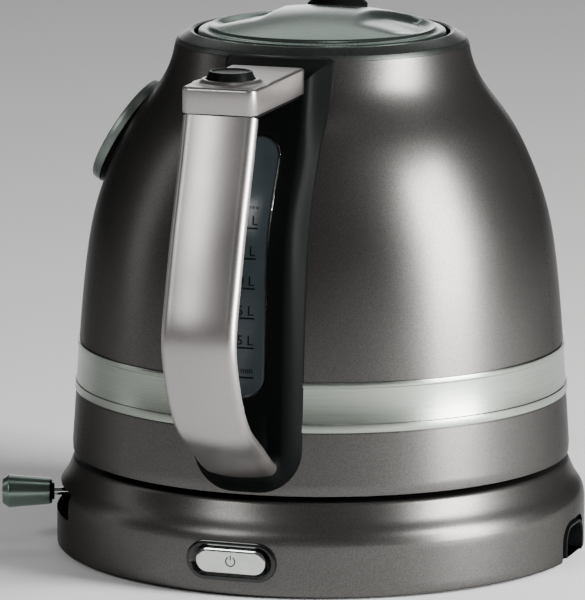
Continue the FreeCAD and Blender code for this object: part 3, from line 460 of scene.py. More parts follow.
bodyPiece = makeBodyShell()
makeBand()
ringIn, ringTop, ringLow = high("lid_seal")[0] + 1.5, high("neck_ring")[2], low("neck_ring")[2]
neckR = high("neck_ring")[0]


def makeNeckRing():
    outline = rounded([
        (ringIn - 4, ringLow, 0), (neckR - 2.2, ringLow, 0), (neckR - 2.2, bodyTop - 0.4, 0),
        (neckR - 0.1, bodyTop, 0.3),
        (neckR - 1.2, bodyTop + 2.0, 0.9), (ringIn + 1.5, ringTop, 0.8), (ringIn + 0.1, ringTop - 0.6, 0.5),
        (ringIn, ringTop - 1.8, 0), (ringIn, ringLow + 2, 0), (ringIn - 4, ringLow + 2, 0),
        (ringIn - 4, ringLow, 0)], 6)
    # the ring's dark colour is a painted dark reflection, not a plating
    ring = turned("neckRing", outline, ringPaintedReflection, 160)
    seat(ring, "kettle", "dark_ring", "neck_ring")


makeNeckRing()
print("body done")


# lid
lidShape = {"rise": 7.0, "ridgeHalf": 17.0, "flare": 0.012, "scoopDepth": 3.6, "wallIn": 6.0, "bead": 1.9,
            "fadeTo": 26.0, "fadeOver": 30.0}
lidHinge = Vector(joints["lid_hinge"]["pos_m"]) / mm
lidR = high("lid_cover")[0]
lidTop, lidLow = high("lid_cover")[2], low("lid_cover")[2]


def smoothStep(t):
    t = max(0.0, min(1.0, t))
    return t * t * (3 - 2 * t)


def lidHeight(x, y):
    d = lidShape
    r = math.hypot(x, y)
    rim = lidR - 4.6
    dome = lidTop - d["rise"] * min(1.0, r / rim) ** 2
    edge = d["ridgeHalf"] + d["flare"] * min(x, 0.0) ** 2
    inY = smoothStep((abs(y) - edge) / 6.5)
    inR = smoothStep((rim + 0.4 - r) / d["wallIn"])
    towardHandle = smoothStep((d["fadeTo"] - x) / d["fadeOver"])      # the scoops die out toward the handle
    depth = d["scoopDepth"] * (0.45 + 0.55 * (r / rim)) * towardHandle
    return dome - depth * inY * inR


def makeLid():
    steps, radial = 224, 60
    rimR, rimZ, bead = lidR - lidShape["bead"], lidHinge.z, lidShape["bead"]
    rings = []
    for k in range(radial + 1):
        r = max(0.0, (lidR - 4.6) * k / radial)
        rings.append([(r, None)] * steps)
    extra = [(lidR - 4.1, rimZ + bead + 0.75), (lidR - 3.6, rimZ + bead + 0.3), (lidR - 2.8, rimZ + bead + 0.05)]
    for i in range(13):
        a = math.pi / 2 - math.pi * i / 12
        extra.append((rimR + bead * math.cos(a), rimZ + bead * math.sin(a)))
    extra += [(rimR, lidLow + 0.3), (rimR - 0.4, lidLow), (20.0, lidLow), (0.0, lidLow)]
    vertices = []
    for ring in rings:
        for i, (r, _) in enumerate(ring):
            a = 2 * math.pi * i / steps
            x, y = r * math.cos(a), r * math.sin(a)
            vertices.append((x * mm, y * mm, lidHeight(x, y) * mm))
    for r, z in extra:
        for i in range(steps):
            a = 2 * math.pi * i / steps
            vertices.append((r * math.cos(a) * mm, r * math.sin(a) * mm, z * mm))
    faces = ringFaces(len(rings) + len(extra), steps)
    lid = addPiece("lidCover", vertices, faces, lidSteel, 40)
    seat(lid, "lid", "lid_steel", "lid_cover")


def makeLidFittings():
    padX = (low("lid_pad")[0] + high("lid_pad")[0]) / 2
    padR, padTop, padLow = high("lid_pad")[1], high("lid_pad")[2], low("lid_pad")[2]
    topR = padR - 2.95
    outline = rounded([(0.0, padTop - 0.45, 0), (topR - 1.6, padTop - 0.45, 0.6), (topR - 0.7, padTop, 0.35),
                       (topR, padTop, 0.4), (padR, padTop - 3.0, 0.5), (padR, padTop - 4.4, 0), (padR, padLow, 0),
                       (0.0, padLow, 0)], 5)
    pad = turned("lidPad", outline, blackPlastic, 96, place=Matrix.Translation((padX * mm, 0, 0)))
    seat(pad, "lid", "black_plastic", "lid_pad")
    plugR, plugLow, plugTop = high("lid_inner")[0], low("lid_inner")[2], high("lid_inner")[2]
    outline = rounded([(0.0, plugLow + 0.6, 0), (9.0, plugLow + 0.6, 0.3), (10.0, plugLow, 0.3),
                       (plugR - 9, plugLow, 0.3),
                       (plugR - 8, plugLow + 1.0, 0.3), (plugR - 5, plugLow + 1.0, 0.3), (plugR - 4, plugLow, 0.3),
                       (plugR, plugLow, 1.2), (plugR, plugTop, 0), (plugR - 2, plugTop, 0),
                       (plugR - 2, plugLow + 2.2, 0),
                       (0.0, plugLow + 2.2, 0)], 4)
    plug = turned("lidPlug", outline, vesselSteel, 128)
    seat(plug, "lid", "grey_plastic", "lid_inner")
    sealR, sealLow, sealTop = high("lid_seal")[0], low("lid_seal")[2], high("lid_seal")[2]
    outline = rounded([(plugR + 0.05, sealTop, 0), (plugR + 0.05, sealLow, 0), (sealR - 2.4, sealLow, 0.3),
                       (sealR - 2.0, sealLow + 0.7, 0.3), (sealR, sealLow, 0.5), (sealR - 0.2, sealTop, 0.5),
                       (plugR + 0.05, sealTop, 0)], 4)
    seat(turned("lidSeal", outline, rubber, 128), "lid", "rubber", "lid_seal")


makeLid()
makeLidFittings()
print("lid done")


# spine, window and foot
spineShape = {
    "front": ((102.5, 15), (102.0, 34), (99.9, 78), (94.8, 108), (81.2, 134), (76.0, 146), (71.9, 160)),
    "half": 22.4, "radiusLow": 17.0, "radiusHigh": 3.0, "step": 0.5,
    "insets": (0.0, 0.25, 0.6, 1.2, 2.0, 3.0, 4.2, 5.4, 6.4, 7.2, 8.2, 9.5, 11.0, 12.4),
    "flank": 7.4, "footLow": 4.5, "footHigh": 16.0, "footReach": 4.6}
spineLow, spineTop = low("handle_spine")[2], high("handle_spine")[2]
frontPoints = [(x, bodyLow + h) for x, h in spineShape["front"]]
frontPoints = [(frontPoints[0][0], spineLow - 5)] + frontPoints + [(frontPoints[-1][0] - 0.3, spineTop + 5)]
frontCurve = cubicThrough(frontPoints, 161)


def spineFront(z):
    return float(np.interp(z, frontCurve[:, 1], frontCurve[:, 0]))


def onBody(y, z):
    r = wallRadius(min(max(z, bodyLow), bodyTop))
    return math.sqrt(max(r * r - y * y, 1.0))


def shapeStep(t):
    # Rounded slope from the body's wall up to the spine's front.
    t = max(0.0, min(1.0, t))
    return 0.10 + 0.90 * math.sin(t * math.pi / 2) ** 1.15


def spinePoint(y, z, depthIn):
    d = spineShape
    wall = onBody(y, z) - 0.05
    top = spineFront(z)
    rise = (top - wall) * shapeStep(depthIn / d["flank"]) if depthIn > 0 else 0.0
    foot = smoothStep((z - spineLow) / d["footLow"]) * smoothStep((spineLow + d["footHigh"] - z) / 5.0)
    foot *= smoothStep((15.5 - abs(y)) / 4.0)
    return ((wall + max(rise, 0.0) + d["footReach"] * foot * smoothStep(depthIn / 9.0)) * mm, y * mm, z * mm)


windowHalf = high("window_trim")[1]
windowLow, windowTop = low("window_trim")[2], high("window_trim")[2]


def makeSpine():
    d = spineShape
    sizes = dict(half=d["half"], bottom=spineLow, top=spineTop, radiusLow=d["radiusLow"],
                 radiusHigh=d["radiusHigh"])
    outlines = [uprightOutline(inset=inset, **sizes) for inset in d["insets"]]
    rings = [[spinePoint(y, z, inset) for y, z in outline] for inset, outline in zip(d["insets"], outlines)]
    hole = uprightOutline(windowHalf, windowLow, windowTop, windowHalf, windowHalf, 0.0)
    last = outlines[-1]
    for share in (0.35, 0.7, 1.0):
        ring = []
        for (ya, za), (yb, zb) in zip(last, hole):
            y, z = ya + (yb - ya) * share, za + (zb - za) * share
            ring.append(spinePoint(y, z, 12.4 + share))
        rings.append(ring)
    rings.append([(x - 0.25 * mm, y * 0.995, z) for x, y, z in rings[-1]])
    rings.append([(x - 3.0 * mm, y, z) for x, y, z in rings[-1]])
    spine = layeredPiece("handleSpine", rings, blackPlastic, fillLast=False, smoothAngle=50)
    seat(spine, "kettle", "black_plastic", "handle_spine", "handle_foot")


def windowLayer(name, half, grow, insetDepths, material, fill=True):
    rings = []
    for inset, depth in insetDepths:
        outline = uprightOutline(half, windowLow + grow, windowTop - grow, half, half, inset)
        rings.append([((spineFront(z) - depth) * mm, y * mm, z * mm) for y, z in outline])
    return layeredPiece(name, rings, material, fillLast=fill, smoothAngle=50)


def makeWindow():
    trimWide = windowHalf - high("water_window")[1]
    rim = windowLayer("windowTrim", windowHalf - 0.05, 0.05, (
        (0.0, 2.9), (0.0, 0.25), (0.15, 0.0), (trimWide - 0.25, 0.0), (trimWide - 0.1, 0.2), (trimWide - 0.1, 2.9)),
        chrome, False)
    seat(rim, "kettle", "chrome_trim", "window_trim")
    pane = windowLayer("waterWindow", windowHalf - trimWide, trimWide, (
        (3.0, 2.2), (0.05, 2.2), (0.05, 0.6), (0.4, 0.3), (1.2, 0.2), (4.0, 0.2)), windowPlastic)
    seat(pane, "kettle", "window_plastic", "water_window")
    back = windowLayer("windowBacking", windowHalf - trimWide - 0.1, trimWide + 0.1, (
        (0.0, 3.0), (0.0, 2.5), (2.0, 2.5), (4.0, 2.5)), greyPlastic)
    seat(back, "kettle", "grey_plastic", "window_backing")


def textMesh(name, text, size, place, thickness=0.06, align="CENTER"):
    # Raised print as a plain mesh, in its place.
    curve = bpy.data.curves.new(name, "FONT")
    curve.body = text
    curve.size = size * mm
    curve.extrude = thickness / 2 * mm
    curve.align_x = align
    curve.align_y = "CENTER"
    curve.resolution_u = 3
    holder = bpy.data.objects.new(name, curve)
    bpy.context.scene.collection.objects.link(holder)
    mesh = bpy.data.meshes.new_from_object(holder.evaluated_get(bpy.context.evaluated_depsgraph_get()))
    bpy.data.objects.remove(holder)
    mesh.transform(place)
    return mesh


def joined(name, meshes, material):
    builder = bmesh.new()
    for mesh in meshes:
        builder.from_mesh(mesh)
    whole = bpy.data.meshes.new(name)
    builder.to_mesh(whole)
    builder.free()
    return finishMesh(name, whole, material)


def makeWindowMarks():
    # Capacity marks: a line for each quarter litre and its number above.
    d = {"first": 86.7, "step": 11.65, "labels": ("min", ".5 L", ".75 L", "1.0 L", "1.25 L", "1.5 L"),
         "lineFrom": -5.0, "lineTo": 3.6, "lineThick": 0.6, "numberSize": 5.4}
    meshes = []
    for i, label in enumerate(d["labels"]):
        z = d["first"] + d["step"] * i
        slope = math.atan2(spineFront(z + 2) - spineFront(z - 2), 4.0)
        turn = Matrix(((0, 0, 1, 0), (1, 0, 0, 0), (0, 1, 0, 0), (0, 0, 0, 1)))
        place = Matrix.Translation(((spineFront(z + 3) - 0.16) * mm, (d["lineTo"] - 0.3) * mm, (z + 3.1) * mm)) \
            @ Matrix.Rotation(slope, 4, "Y") @ turn
        meshes.append(textMesh("mark", label, d["numberSize"] if i else 3.4, place, align="RIGHT"))
        if i == len(d["labels"]) - 1:
            place = Matrix.Translation(((spineFront(z + 8) - 0.16) * mm, (d["lineTo"] - 0.3) * mm, (z + 8.0) * mm)) \
                @ Matrix.Rotation(slope, 4, "Y") @ turn
            meshes.append(textMesh("mark", "max", 3.4, place, align="RIGHT"))
        bar = bpy.data.meshes.new("bar")
        corners = []
        for depth in (0.12, 0.3):
            for y, dz in ((d["lineFrom"], 0), (d["lineTo"], 0),
                          (d["lineTo"], d["lineThick"]), (d["lineFrom"], d["lineThick"])):
                corners.append(((spineFront(z + dz) - depth) * mm, y * mm, (z + dz) * mm))
        bar.from_pydata(corners, [], [(0, 1, 2, 3), (7, 6, 5, 4), (0, 4, 5, 1),
                                      (1, 5, 6, 2), (2, 6, 7, 3), (3, 7, 4, 0)])
        meshes.append(bar)
    marks = joined("capacityMarks", meshes, inkDark)
    seat(marks, "kettle", "black_plastic")


makeSpine()
makeWindow()
makeWindowMarks()
print("spine done")


# handle
handle = {
    "grip": ((34.5, 155.4), (42.0, 133.8), (49.8, 112.7), (58.0, 87.0), (61.6, 69.5), (57.6, 53.2),
             (48.8, 37.3), (39.0, 27.8), (24.6, 18.9), (14.0, 12.0), (6.0, 8.0)),    # past the body's foot, height
    "crown": 2.0, "thick": 5.5, "edge": 3.6, "linerThick": 2.0, "linerIn": 1.6, "endX": 107.0}
gripHalf = high("handle_grip")[1]
capLow, capTop = low("handle_cap")[2], high("handle_cap")[2]
gripPath = cubicThrough([(bodyR + x, bodyLow + h) for x, h in handle["grip"]], 120)
gripPath[0][1] = capLow


def sweepGrip(name, section, material, startZ, endX):
    # Carries a section of (across, depth) points along the grip's path, cut level above and upright below.
    along = np.gradient(gripPath, axis=0)
    along /= np.linalg.norm(along, axis=1)[:, None]
    rings = []
    for (x, z), (tx, tz) in zip(gripPath, along):
        ring = []
        for across, depth in section:
            px, pz = x + tz * depth, z - tx * depth
            if pz > startZ or (z > startZ - 12 and pz > startZ - 0.01):
                px, pz = px + tx * (startZ - pz) / tz, startZ
            if px < endX and z < bodyLow + 60:
                pz, px = pz + tz * (endX - px) / tx, endX
            ring.append((px * mm, across * mm, pz * mm))
        rings.append(ring)
    return layeredPiece(name, rings, material, True, True, 40)


def gripSection(half, front, back, edge, crown):
    # A flat bar with a crowned front and rounded front edges, as a loop of (across, depth).
    right = []
    for i in range(13):
        y = (half - edge) * i / 12
        right.append((y, front + crown * (y / half) ** 2))
    corner = front + crown * ((half - edge) / half) ** 2
    for i in range(1, 9):
        a = math.pi / 2 * i / 8
        right.append((half - edge + edge * math.sin(a), corner + edge * (1 - math.cos(a))))
    right += [(half, back - 0.8), (half - 0.25, back - 0.2), (half - 0.9, back), ((half - edge) * 0.5, back),
              (0.0, back)]
    return right + [(-y, depth) for y, depth in reversed(right[1:-1])]


def makeGrip():
    d = handle
    grip = sweepGrip("handleGrip", gripSection(gripHalf, 0.0, d["thick"], d["edge"], d["crown"]), aluminium,
                     capLow - 0.35, d["endX"])
    seat(grip, "kettle", "satin_aluminium", "handle_grip")
    linerHalf = gripHalf - d["linerIn"]
    liner = sweepGrip("handleLiner", gripSection(linerHalf, d["thick"] + 0.05, d["thick"] + d["linerThick"], 0.5, 0.0),
                      blackPlastic, capLow - 0.5, 103.5)
    seat(liner, "kettle", "black_plastic", "handle_liner")
    x0, x1 = low("handle_cap")[0] + 0.1, gripPath[0][0] - d["thick"]
    under = []
    for inset, z in ((0.0, capLow), (0.0, capLow - 1.2), (0.3, capLow - 1.8), (1.0, capLow - 2.0)):
        under.append([(x * mm, y * mm, z * mm) for x, y in flatOutline(x0, x1, linerHalf, 0.8, 0.8, inset)])
    plate = layeredPiece("capUnderplate", under, blackPlastic)
    seat(plate, "kettle", "black_plastic")


def flatOutline(x0, x1, half, radiusNear, radiusFar, inset):
    # Points (x, y) round a plan with its own corner radii at each end.
    upright = uprightOutline(half, x0, x1, radiusNear, radiusFar, inset, 8, 20, 4)
    return [(b, a) for a, b in upright]


def makeCap():
    # The flat arm of the handle, with softened edges and a soft rise to the button's collar.
    d = {"radius": 3.6, "edge": 1.3, "x0": low("handle_cap")[0], "x1": high("handle_cap")[0]}
    steps = [(1.4, capLow), (0.25, capLow), (0.0, capLow + 0.25)]
    for i in range(9):
        a = math.pi / 2 * i / 8
        steps.append((d["edge"] * (1 - math.cos(a)), capTop - d["edge"] + d["edge"] * math.sin(a)))
    rings = [[(x * mm, y * mm, z * mm) for x, y in flatOutline(d["x0"], d["x1"], gripHalf, 0.6, d["radius"], inset)]
             for inset, z in steps]
    cap = layeredPiece("handleCap", rings, aluminium, True, True, 50)
    seat(cap, "kettle", "satin_aluminium", "handle_cap")
    centre = Vector(((low("release_button")[0] + high("release_button")[0]) / 2, 0, 0))
    place = Matrix.Translation(centre * mm)
    keyR, collarR, collarTop = high("release_button")[1], high("button_collar")[1], high("button_collar")[2] + 0.6
    outline = rounded([(keyR + 0.25, capTop - 0.3, 0), (keyR + 0.25, collarTop, 0.25), (keyR + 1.5, collarTop, 0.8),
                       (collarR + 0.6, capTop + 0.35, 2.2), (collarR + 3.0, capTop - 0.02, 0),
                       (collarR + 3.0, capTop - 0.3, 0), (keyR + 0.25, capTop - 0.3, 0)], 6)
    collar = turned("buttonCollar", outline, aluminium, 96, place=place)
    seat(collar, "kettle", "satin_aluminium", "button_collar")
    keyTop = high("release_button")[2]
    outline = rounded([(0.0, keyTop - 0.75, 0), (keyR - 2.6, keyTop - 0.4, 0.8), (keyR - 1.9, keyTop, 0.4),
                       (keyR - 1.2, keyTop, 0.4), (keyR - 0.1, collarTop + 0.2, 0.3), (keyR - 0.1, capTop - 0.3, 0),
                       (0.0, capTop - 0.3, 0)], 5)
    key = turned("releaseButton", outline, blackPlastic, 96, place=place)
    seat(key, "lid_release", "black_plastic", "release_button")


makeGrip()
makeCap()
print("handle done")


# spout
spoutShape = {"halfWide": (22.0, 9.0), "halfTall": (17.0, 7.9), "length": 52.0, "wall": 1.5, "sink": 10.0, "steps": 22}
spoutDirection = Vector((-0.853, 0.0, 0.5225))
spoutRoot = Vector((-63.61, 0.0, 163.0))
lipZ, lipX = high("spout")[2], low("spout")[0]


def spoutPoint(along, turn, wall):
    # the section narrows toward the lip on a soft curve
    d = spoutShape
    share = max(0.0, min(1.0, along / d["length"]))
    wide = d["halfWide"][0] + (d["halfWide"][1] - d["halfWide"][0]) * share ** 0.85 - wall
    tall = d["halfTall"][0] + (d["halfTall"][1] - d["halfTall"][0]) * share ** 0.85 - wall
    up = Vector((spoutDirection.z, 0.0, -spoutDirection.x))
    aside = Vector((0, 1, 0)) * (wide * math.sin(turn))
    return spoutRoot + spoutDirection * along + aside + up * (tall * math.cos(turn))


def spoutEnd(turn, wall):
    # how far along the spout this line of points meets the level lip
    near, far = 0.0, spoutShape["length"] + 30.0
    for _ in range(40):
        middle = (near + far) / 2
        near, far = (middle, far) if spoutPoint(middle, turn, wall).z < lipZ else (near, middle)
    return near


def makeSpout():
    d = spoutShape
    turns = [2 * math.pi * i / 72 for i in range(72)]
    rings = []
    for wall in (0.0, d["wall"]):
        ends = [spoutEnd(turn, wall) for turn in turns]
        sheet = []
        for k in range(d["steps"] + 1):
            ring = []
            for turn, end in zip(turns, ends):
                spot = spoutPoint(-d["sink"] + (end + d["sink"]) * k / d["steps"], turn, wall)
                spot.x = max(spot.x, lipX + wall * 0.5)
                ring.append(tuple(spot * mm))
            sheet.append(ring)
        rings += sheet if wall == 0.0 else sheet[::-1]
    spout = layeredPiece("spoutShell", rings + [rings[0]], paint, False, False, 45)
    seat(spout, "kettle", "pewter_paint", "spout")


makeSpout()
print("spout done")


# thermometer
gauge = {"radius": 23.5, "bezelIn": 20.8, "dialRadius": 20.35, "faceS": -3.0, "needleLength": 15.0,
         "scaleFrom": 210.0, "scaleSpan": 240.0, "numbers": 11, "ticksPerNumber": 5, "numberRadius": 14.0}
gaugeCentre = Vector((0.0, -82.98, 166.53))
gaugeNormal = Vector((0.0, -0.857167, 0.515038))
gaugeUp = Vector((0.0, 0.515038, 0.857167))
gaugePlace = Matrix((
    (1, 0, 0, gaugeCentre.x * mm), (0, gaugeUp.y, gaugeNormal.y, gaugeCentre.y * mm),
    (0, gaugeUp.z, gaugeNormal.z, gaugeCentre.z * mm), (0, 0, 0, 1)))


def makeTickTree():
    # repeats a tick mark about +Z, every so many degrees
    tree, given = openTree("ticksRound", (
        ("Count", "NodeSocketInt", 10), ("Radius", "NodeSocketFloat", 0.02),
        ("First Angle", "NodeSocketFloat", 0.0), ("Step Angle", "NodeSocketFloat", 0.1)))
    line = addNode(tree, "GeometryNodeMeshLine", {"mode": "OFFSET"}, {"Count": given["Count"], "Offset": (0, 0, 0)})
    index = addNode(tree, "GeometryNodeInputIndex").outputs[0]
    angle = addNode(tree, "ShaderNodeMath", {"operation": "MULTIPLY_ADD"},
                    {0: index, 1: given["Step Angle"], 2: given["First Angle"]}).outputs[0]
    cosine, sine = [addNode(tree, "ShaderNodeMath", {"operation": wave}, {0: angle}).outputs[0]
                    for wave in ("COSINE", "SINE")]
    across, upward = [addNode(tree, "ShaderNodeMath", {"operation": "MULTIPLY"},
                              {0: wave, 1: given["Radius"]}).outputs[0] for wave in (cosine, sine)]
    spot = addNode(tree, "ShaderNodeCombineXYZ", None, {0: across, 1: upward}).outputs[0]
    spread = addNode(tree, "GeometryNodeSetPosition", None, {"Geometry": line.outputs[0], "Position": spot}).outputs[0]
    spin = addNode(tree, "ShaderNodeCombineXYZ", None, {2: angle}).outputs[0]
    turn = addNode(tree, "FunctionNodeEulerToRotation", None, {0: spin}).outputs[0]
    copies = addNode(tree, "GeometryNodeInstanceOnPoints", None,
                     {"Points": spread, "Instance": given["Geometry"], "Rotation": turn}).outputs[0]
    real = addNode(tree, "GeometryNodeRealizeInstances", None, {0: copies}).outputs[0]
    finished = addNode(tree, "GeometryNodeSetMaterial", None,
                       {"Geometry": real, "Material": given["Finish"]}).outputs[0]
    addNode(tree, "NodeGroupOutput", None, {0: finished})
    return tree


repeatTree = makeTickTree()


def repeatedRound(name, seedMesh, material, count, radius, firstAngle, stepAngle):
    return grownMesh(name, seedMesh, repeatTree, {
        "Count": count, "Radius": radius * mm, "First Angle": math.radians(firstAngle),
        "Step Angle": math.radians(stepAngle), "Finish": material})


def boxMesh(name, nearCorner, farCorner):
    mesh = bpy.data.meshes.new(name)
    (x0, y0, z0), (x1, y1, z1) = [[c * mm for c in corner] for corner in (nearCorner, farCorner)]
    mesh.from_pydata([(x0, y0, z0), (x1, y0, z0), (x1, y1, z0), (x0, y1, z0),
                      (x0, y0, z1), (x1, y0, z1), (x1, y1, z1), (x0, y1, z1)], [],
                     [(3, 2, 1, 0), (4, 5, 6, 7), (0, 1, 5, 4), (1, 2, 6, 5), (2, 3, 7, 6), (3, 0, 4, 7)])
    return mesh


def makeGauge():
    d = gauge
    r = d["radius"]
    outline = rounded([(d["bezelIn"], -3.0, 0), (d["bezelIn"], 0.9, 0.2), (d["bezelIn"] + 0.5, 1.0, 0.3),
                       (r - 0.3, 0.9, 0.8), (r - 0.02, -1.0, 0.5), (r - 0.02, -3.1, 0), (d["bezelIn"], -3.1, 0)], 5)
    bezel = turned("gaugeBezel", outline, satinSteel, 128, place=gaugePlace)
    seat(bezel, "kettle", "chrome_trim", "gauge_bezel")
    dome = [(0.0, 3.2)]
    for i in range(1, 15):
        share = i / 14
        dome.append((20.7 * share, 3.2 - 2.5 * share ** 2.4))
    under = [(r * 0.985, s - 0.8) for r, s in reversed(dome)]
    lens = turned("gaugeLens", dome + [(20.7, -0.1)] + under, dialGlass, 96,
                  place=gaugePlace, smoothAngle=50)
    seat(lens, "kettle", "dial_glass", "gauge_lens")
    face = turned("gaugeDial", [(0.0, d["faceS"]), (d["dialRadius"], d["faceS"]), (d["dialRadius"], -3.6), (0.0, -3.6)],
                  dialFace, 96, place=gaugePlace)
    seat(face, "kettle", "dial_face", "gauge_dial")
    # 0 to 100 degrees over 240 degrees of the dial, clockwise from the lower left
    step = d["scaleSpan"] / (d["numbers"] - 1)
    z0, z1 = d["faceS"], d["faceS"] + 0.05
    prints = []
    for name, half, wide, count, radius, turn in (
            ("smallTicks", 0.9, 0.12, (d["numbers"] - 1) * d["ticksPerNumber"] + 1, 18.0, step / d["ticksPerNumber"]),
            ("largeTicks", 1.5, 0.22, d["numbers"], 17.5, step)):
        tick = boxMesh("tick", (-half, -wide, z0), (half, wide, z1))
        prints.append(repeatedRound(name, tick, inkDark, count, radius, d["scaleFrom"], -turn))
    for i in range(d["numbers"]):
        a = math.radians(d["scaleFrom"] - step * i)
        x, y = d["numberRadius"] * math.cos(a) * mm, d["numberRadius"] * math.sin(a) * mm
        prints.append(textMesh("number", str(i * 10), 2.7, Matrix.Translation((x, y, (z0 + 0.02) * mm))))
    prints.append(textMesh("unit", "°C", 3.6, Matrix.Translation((0, -8.5 * mm, (z0 + 0.02) * mm))))
    for mesh in prints:
        mesh.transform(gaugePlace)
    marks = joined("dialPrint", prints, inkDark)
    seat(marks, "kettle", "black_plastic")


def makeNeedle():
    # a tapered red pointer with a round boss, resting at the cold end of the dial
    reach = gauge["needleLength"]
    outline = [(-0.35, reach), (0.35, reach), (0.75, 0.0), (1.1, -4.2), (-1.1, -4.2), (-0.75, 0.0)]
    rings = [[(x, y, s) for x, y in outline] for s in (-2.55, -1.75)]
    turn = Matrix.Rotation(math.radians(120), 4, "Z")
    place = gaugePlace @ turn @ Matrix.Scale(mm, 4)
    rings = [[tuple(place @ Vector(p)) for p in ring] for ring in rings]
    blade = layeredPiece("needleBlade", rings, needleRed, True, True)
    outline = rounded([(0.9, -1.6, 0), (1.6, -1.6, 0.3), (2.0, -2.5, 0), (0.9, -2.5, 0), (0.9, -1.6, 0)], 4)
    boss = turned("needleBoss", outline, needleRed, 48, place=gaugePlace)
    seat(boss, "dial_needle", "needle_red")
    seat(blade, "dial_needle", "needle_red", "gauge_needle")


def openBodyShell():
    # the shell is open behind the dial and inside the spout
    dialCut = turned("dialCut", [(0.0, 6.0), (22.95, 6.0), (22.95, -12.0), (0.0, -12.0)], paint, 96, place=gaugePlace)
    spoutCut = layeredPiece("spoutCut", [
        [tuple(spoutPoint(along, 2 * math.pi * i / 48, 1.0) * mm) for i in range(48)]
        for along in (-4.0, 4.0, 12.0, 20.0, 28.0)], paint, True, True)
    cutAway(bodyPiece, [dialCut, spoutCut])


makeGauge()
makeNeedle()
openBodyShell()
print("gauge done")


# base
baseHigh = high("base_shell")
baseR = baseHigh[0]


baseShape = {"radius": 107.3, "inside": 104.9, "wall": 2.4, "foot": 1.2, "bend": 21.2, "topRadius": 100.2, "top": 37.6,
             "shoulder": ((106.4, 25.3), (103.8, 29.4), (101.8, 33.5)), "ring": (79.0, 87.0, 39.9), "well": 22.0}


def makeBaseShell():
    d = baseShape
    inner, outer, ringTop = d["ring"]
    shoulder = cubicThrough([(d["radius"], d["bend"]), *d["shoulder"], (d["topRadius"], d["top"])], 26)
    outline = [(d["inside"], d["foot"]), (106.6, d["foot"]), (107.15, 1.75), (d["radius"], 2.4)]
    outline += [(d["radius"], d["bend"] * i / 8) for i in range(2, 8)] + [tuple(p) for p in shoulder[:-1]]
    outline += rounded([(d["topRadius"], 37.1, 0), (99.7, d["top"], 0.3), (98.0, d["top"], 0)], 4)[1:]
    outline += rounded([(87.6, d["top"], 0), (outer, ringTop, 0.6), (inner, ringTop, 0.6), (78.6, d["top"], 0)], 4)
    outline += [(22.4, d["top"]), (d["well"], 37.2), (d["well"], 35.2), (97.0, 35.2)]
    outline += [(r - d["wall"], z) for r, z in shoulder[-4::-4]]
    outline += [(d["inside"], d["bend"]), (d["inside"], d["foot"])]
    shell = turned("baseShell", outline, paint, 240)
    return shell


def wedgeCutter(name, angle0, angle1, z0, z1, r0, r1, steps=60, radius=1.6):
    # a curved slot through the wall with rounded ends, built from upright slices
    span = math.radians(angle1 - angle0) * baseR
    stations = [radius * (1 - math.cos(math.pi / 2 * i / 6)) for i in range(7)]
    stations += [radius + (span - 2 * radius) * i / steps for i in range(1, steps)]
    stations += [span - radius * (1 - math.cos(math.pi / 2 * i / 6)) for i in range(6, -1, -1)]
    rings = []
    for s in stations:
        near = min(s, span - s)
        e = radius - math.sqrt(max(radius ** 2 - (radius - near) ** 2, 0.0)) if near < radius else 0.0
        a = math.radians(angle0) + s / baseR
        rings.append([(r * math.cos(a) * mm, r * math.sin(a) * mm, z * mm)
                      for r, z in ((r0, z0 + e), (r1, z0 + e), (r1, z1 - e), (r0, z1 - e))])
    # the slot's cut faces take this dead black painted shade
    return layeredPiece(name, rings, openingPaintedShade, True, True)


def panelCutter(name, angle, half, z0, z1, r0, r1, radiusLow, radiusHigh):
    # an upright opening square to the wall at one angle
    a = math.radians(angle)
    rings = []
    for r in (r0, r1):
        outline = uprightOutline(half, z0, z1, radiusLow, radiusHigh, 0.0, 10, 6, 4)
        rings.append([((r * math.cos(a) - y * math.sin(a)) * mm, (r * math.sin(a) + y * math.cos(a)) * mm, z * mm)
                      for y, z in outline])
    # the opening's cut faces take this dead black painted shade
    return layeredPiece(name, rings, openingPaintedShade, True, True)


shell = makeBaseShell()
cutAway(shell, [
    wedgeCutter("slotCut", -126, -54, 15.7, 26.7, 90, 115),
    panelCutter("keyCut", -2.0, 18.6, 6.5, 22.3, 96, 115, 7.9, 7.9),
    panelCutter("cordCut", 90.0, 14.9, -1.0, 17.4, 96, 115, 0.5, 8.5)])
seat(shell, "base", "pewter_paint", "base_shell")
print("base done")


def angledPlace(angle, radius, z):
    # local x runs along the wall, local y up, local z outward from the axis at the angle
    a = math.radians(angle)
    return Matrix(((-math.sin(a), 0, math.cos(a), radius * math.cos(a) * mm),
                   (math.cos(a), 0, math.sin(a), radius * math.sin(a) * mm),
                   (0, 1, 0, z * mm), (0, 0, 0, 1)))


def placedRings(rings, place):
    return [[tuple(place @ (Vector(p) * mm)) for p in ring] for ring in rings]


# temperature lever: the scale on the slot plate, the turned knob and a collar at its stem
lever = {"angle": -72.0, "z": 21.2, "plateR": 101.3, "scaleFrom": -120.0, "tickStep": 5.0, "ticks": 13,
         "longTick": 2.2, "shortTick": 1.3, "tickTop": 24.9, "numberZ": 17.7, "knobFrom": 109.3, "knobTo": 129.5}


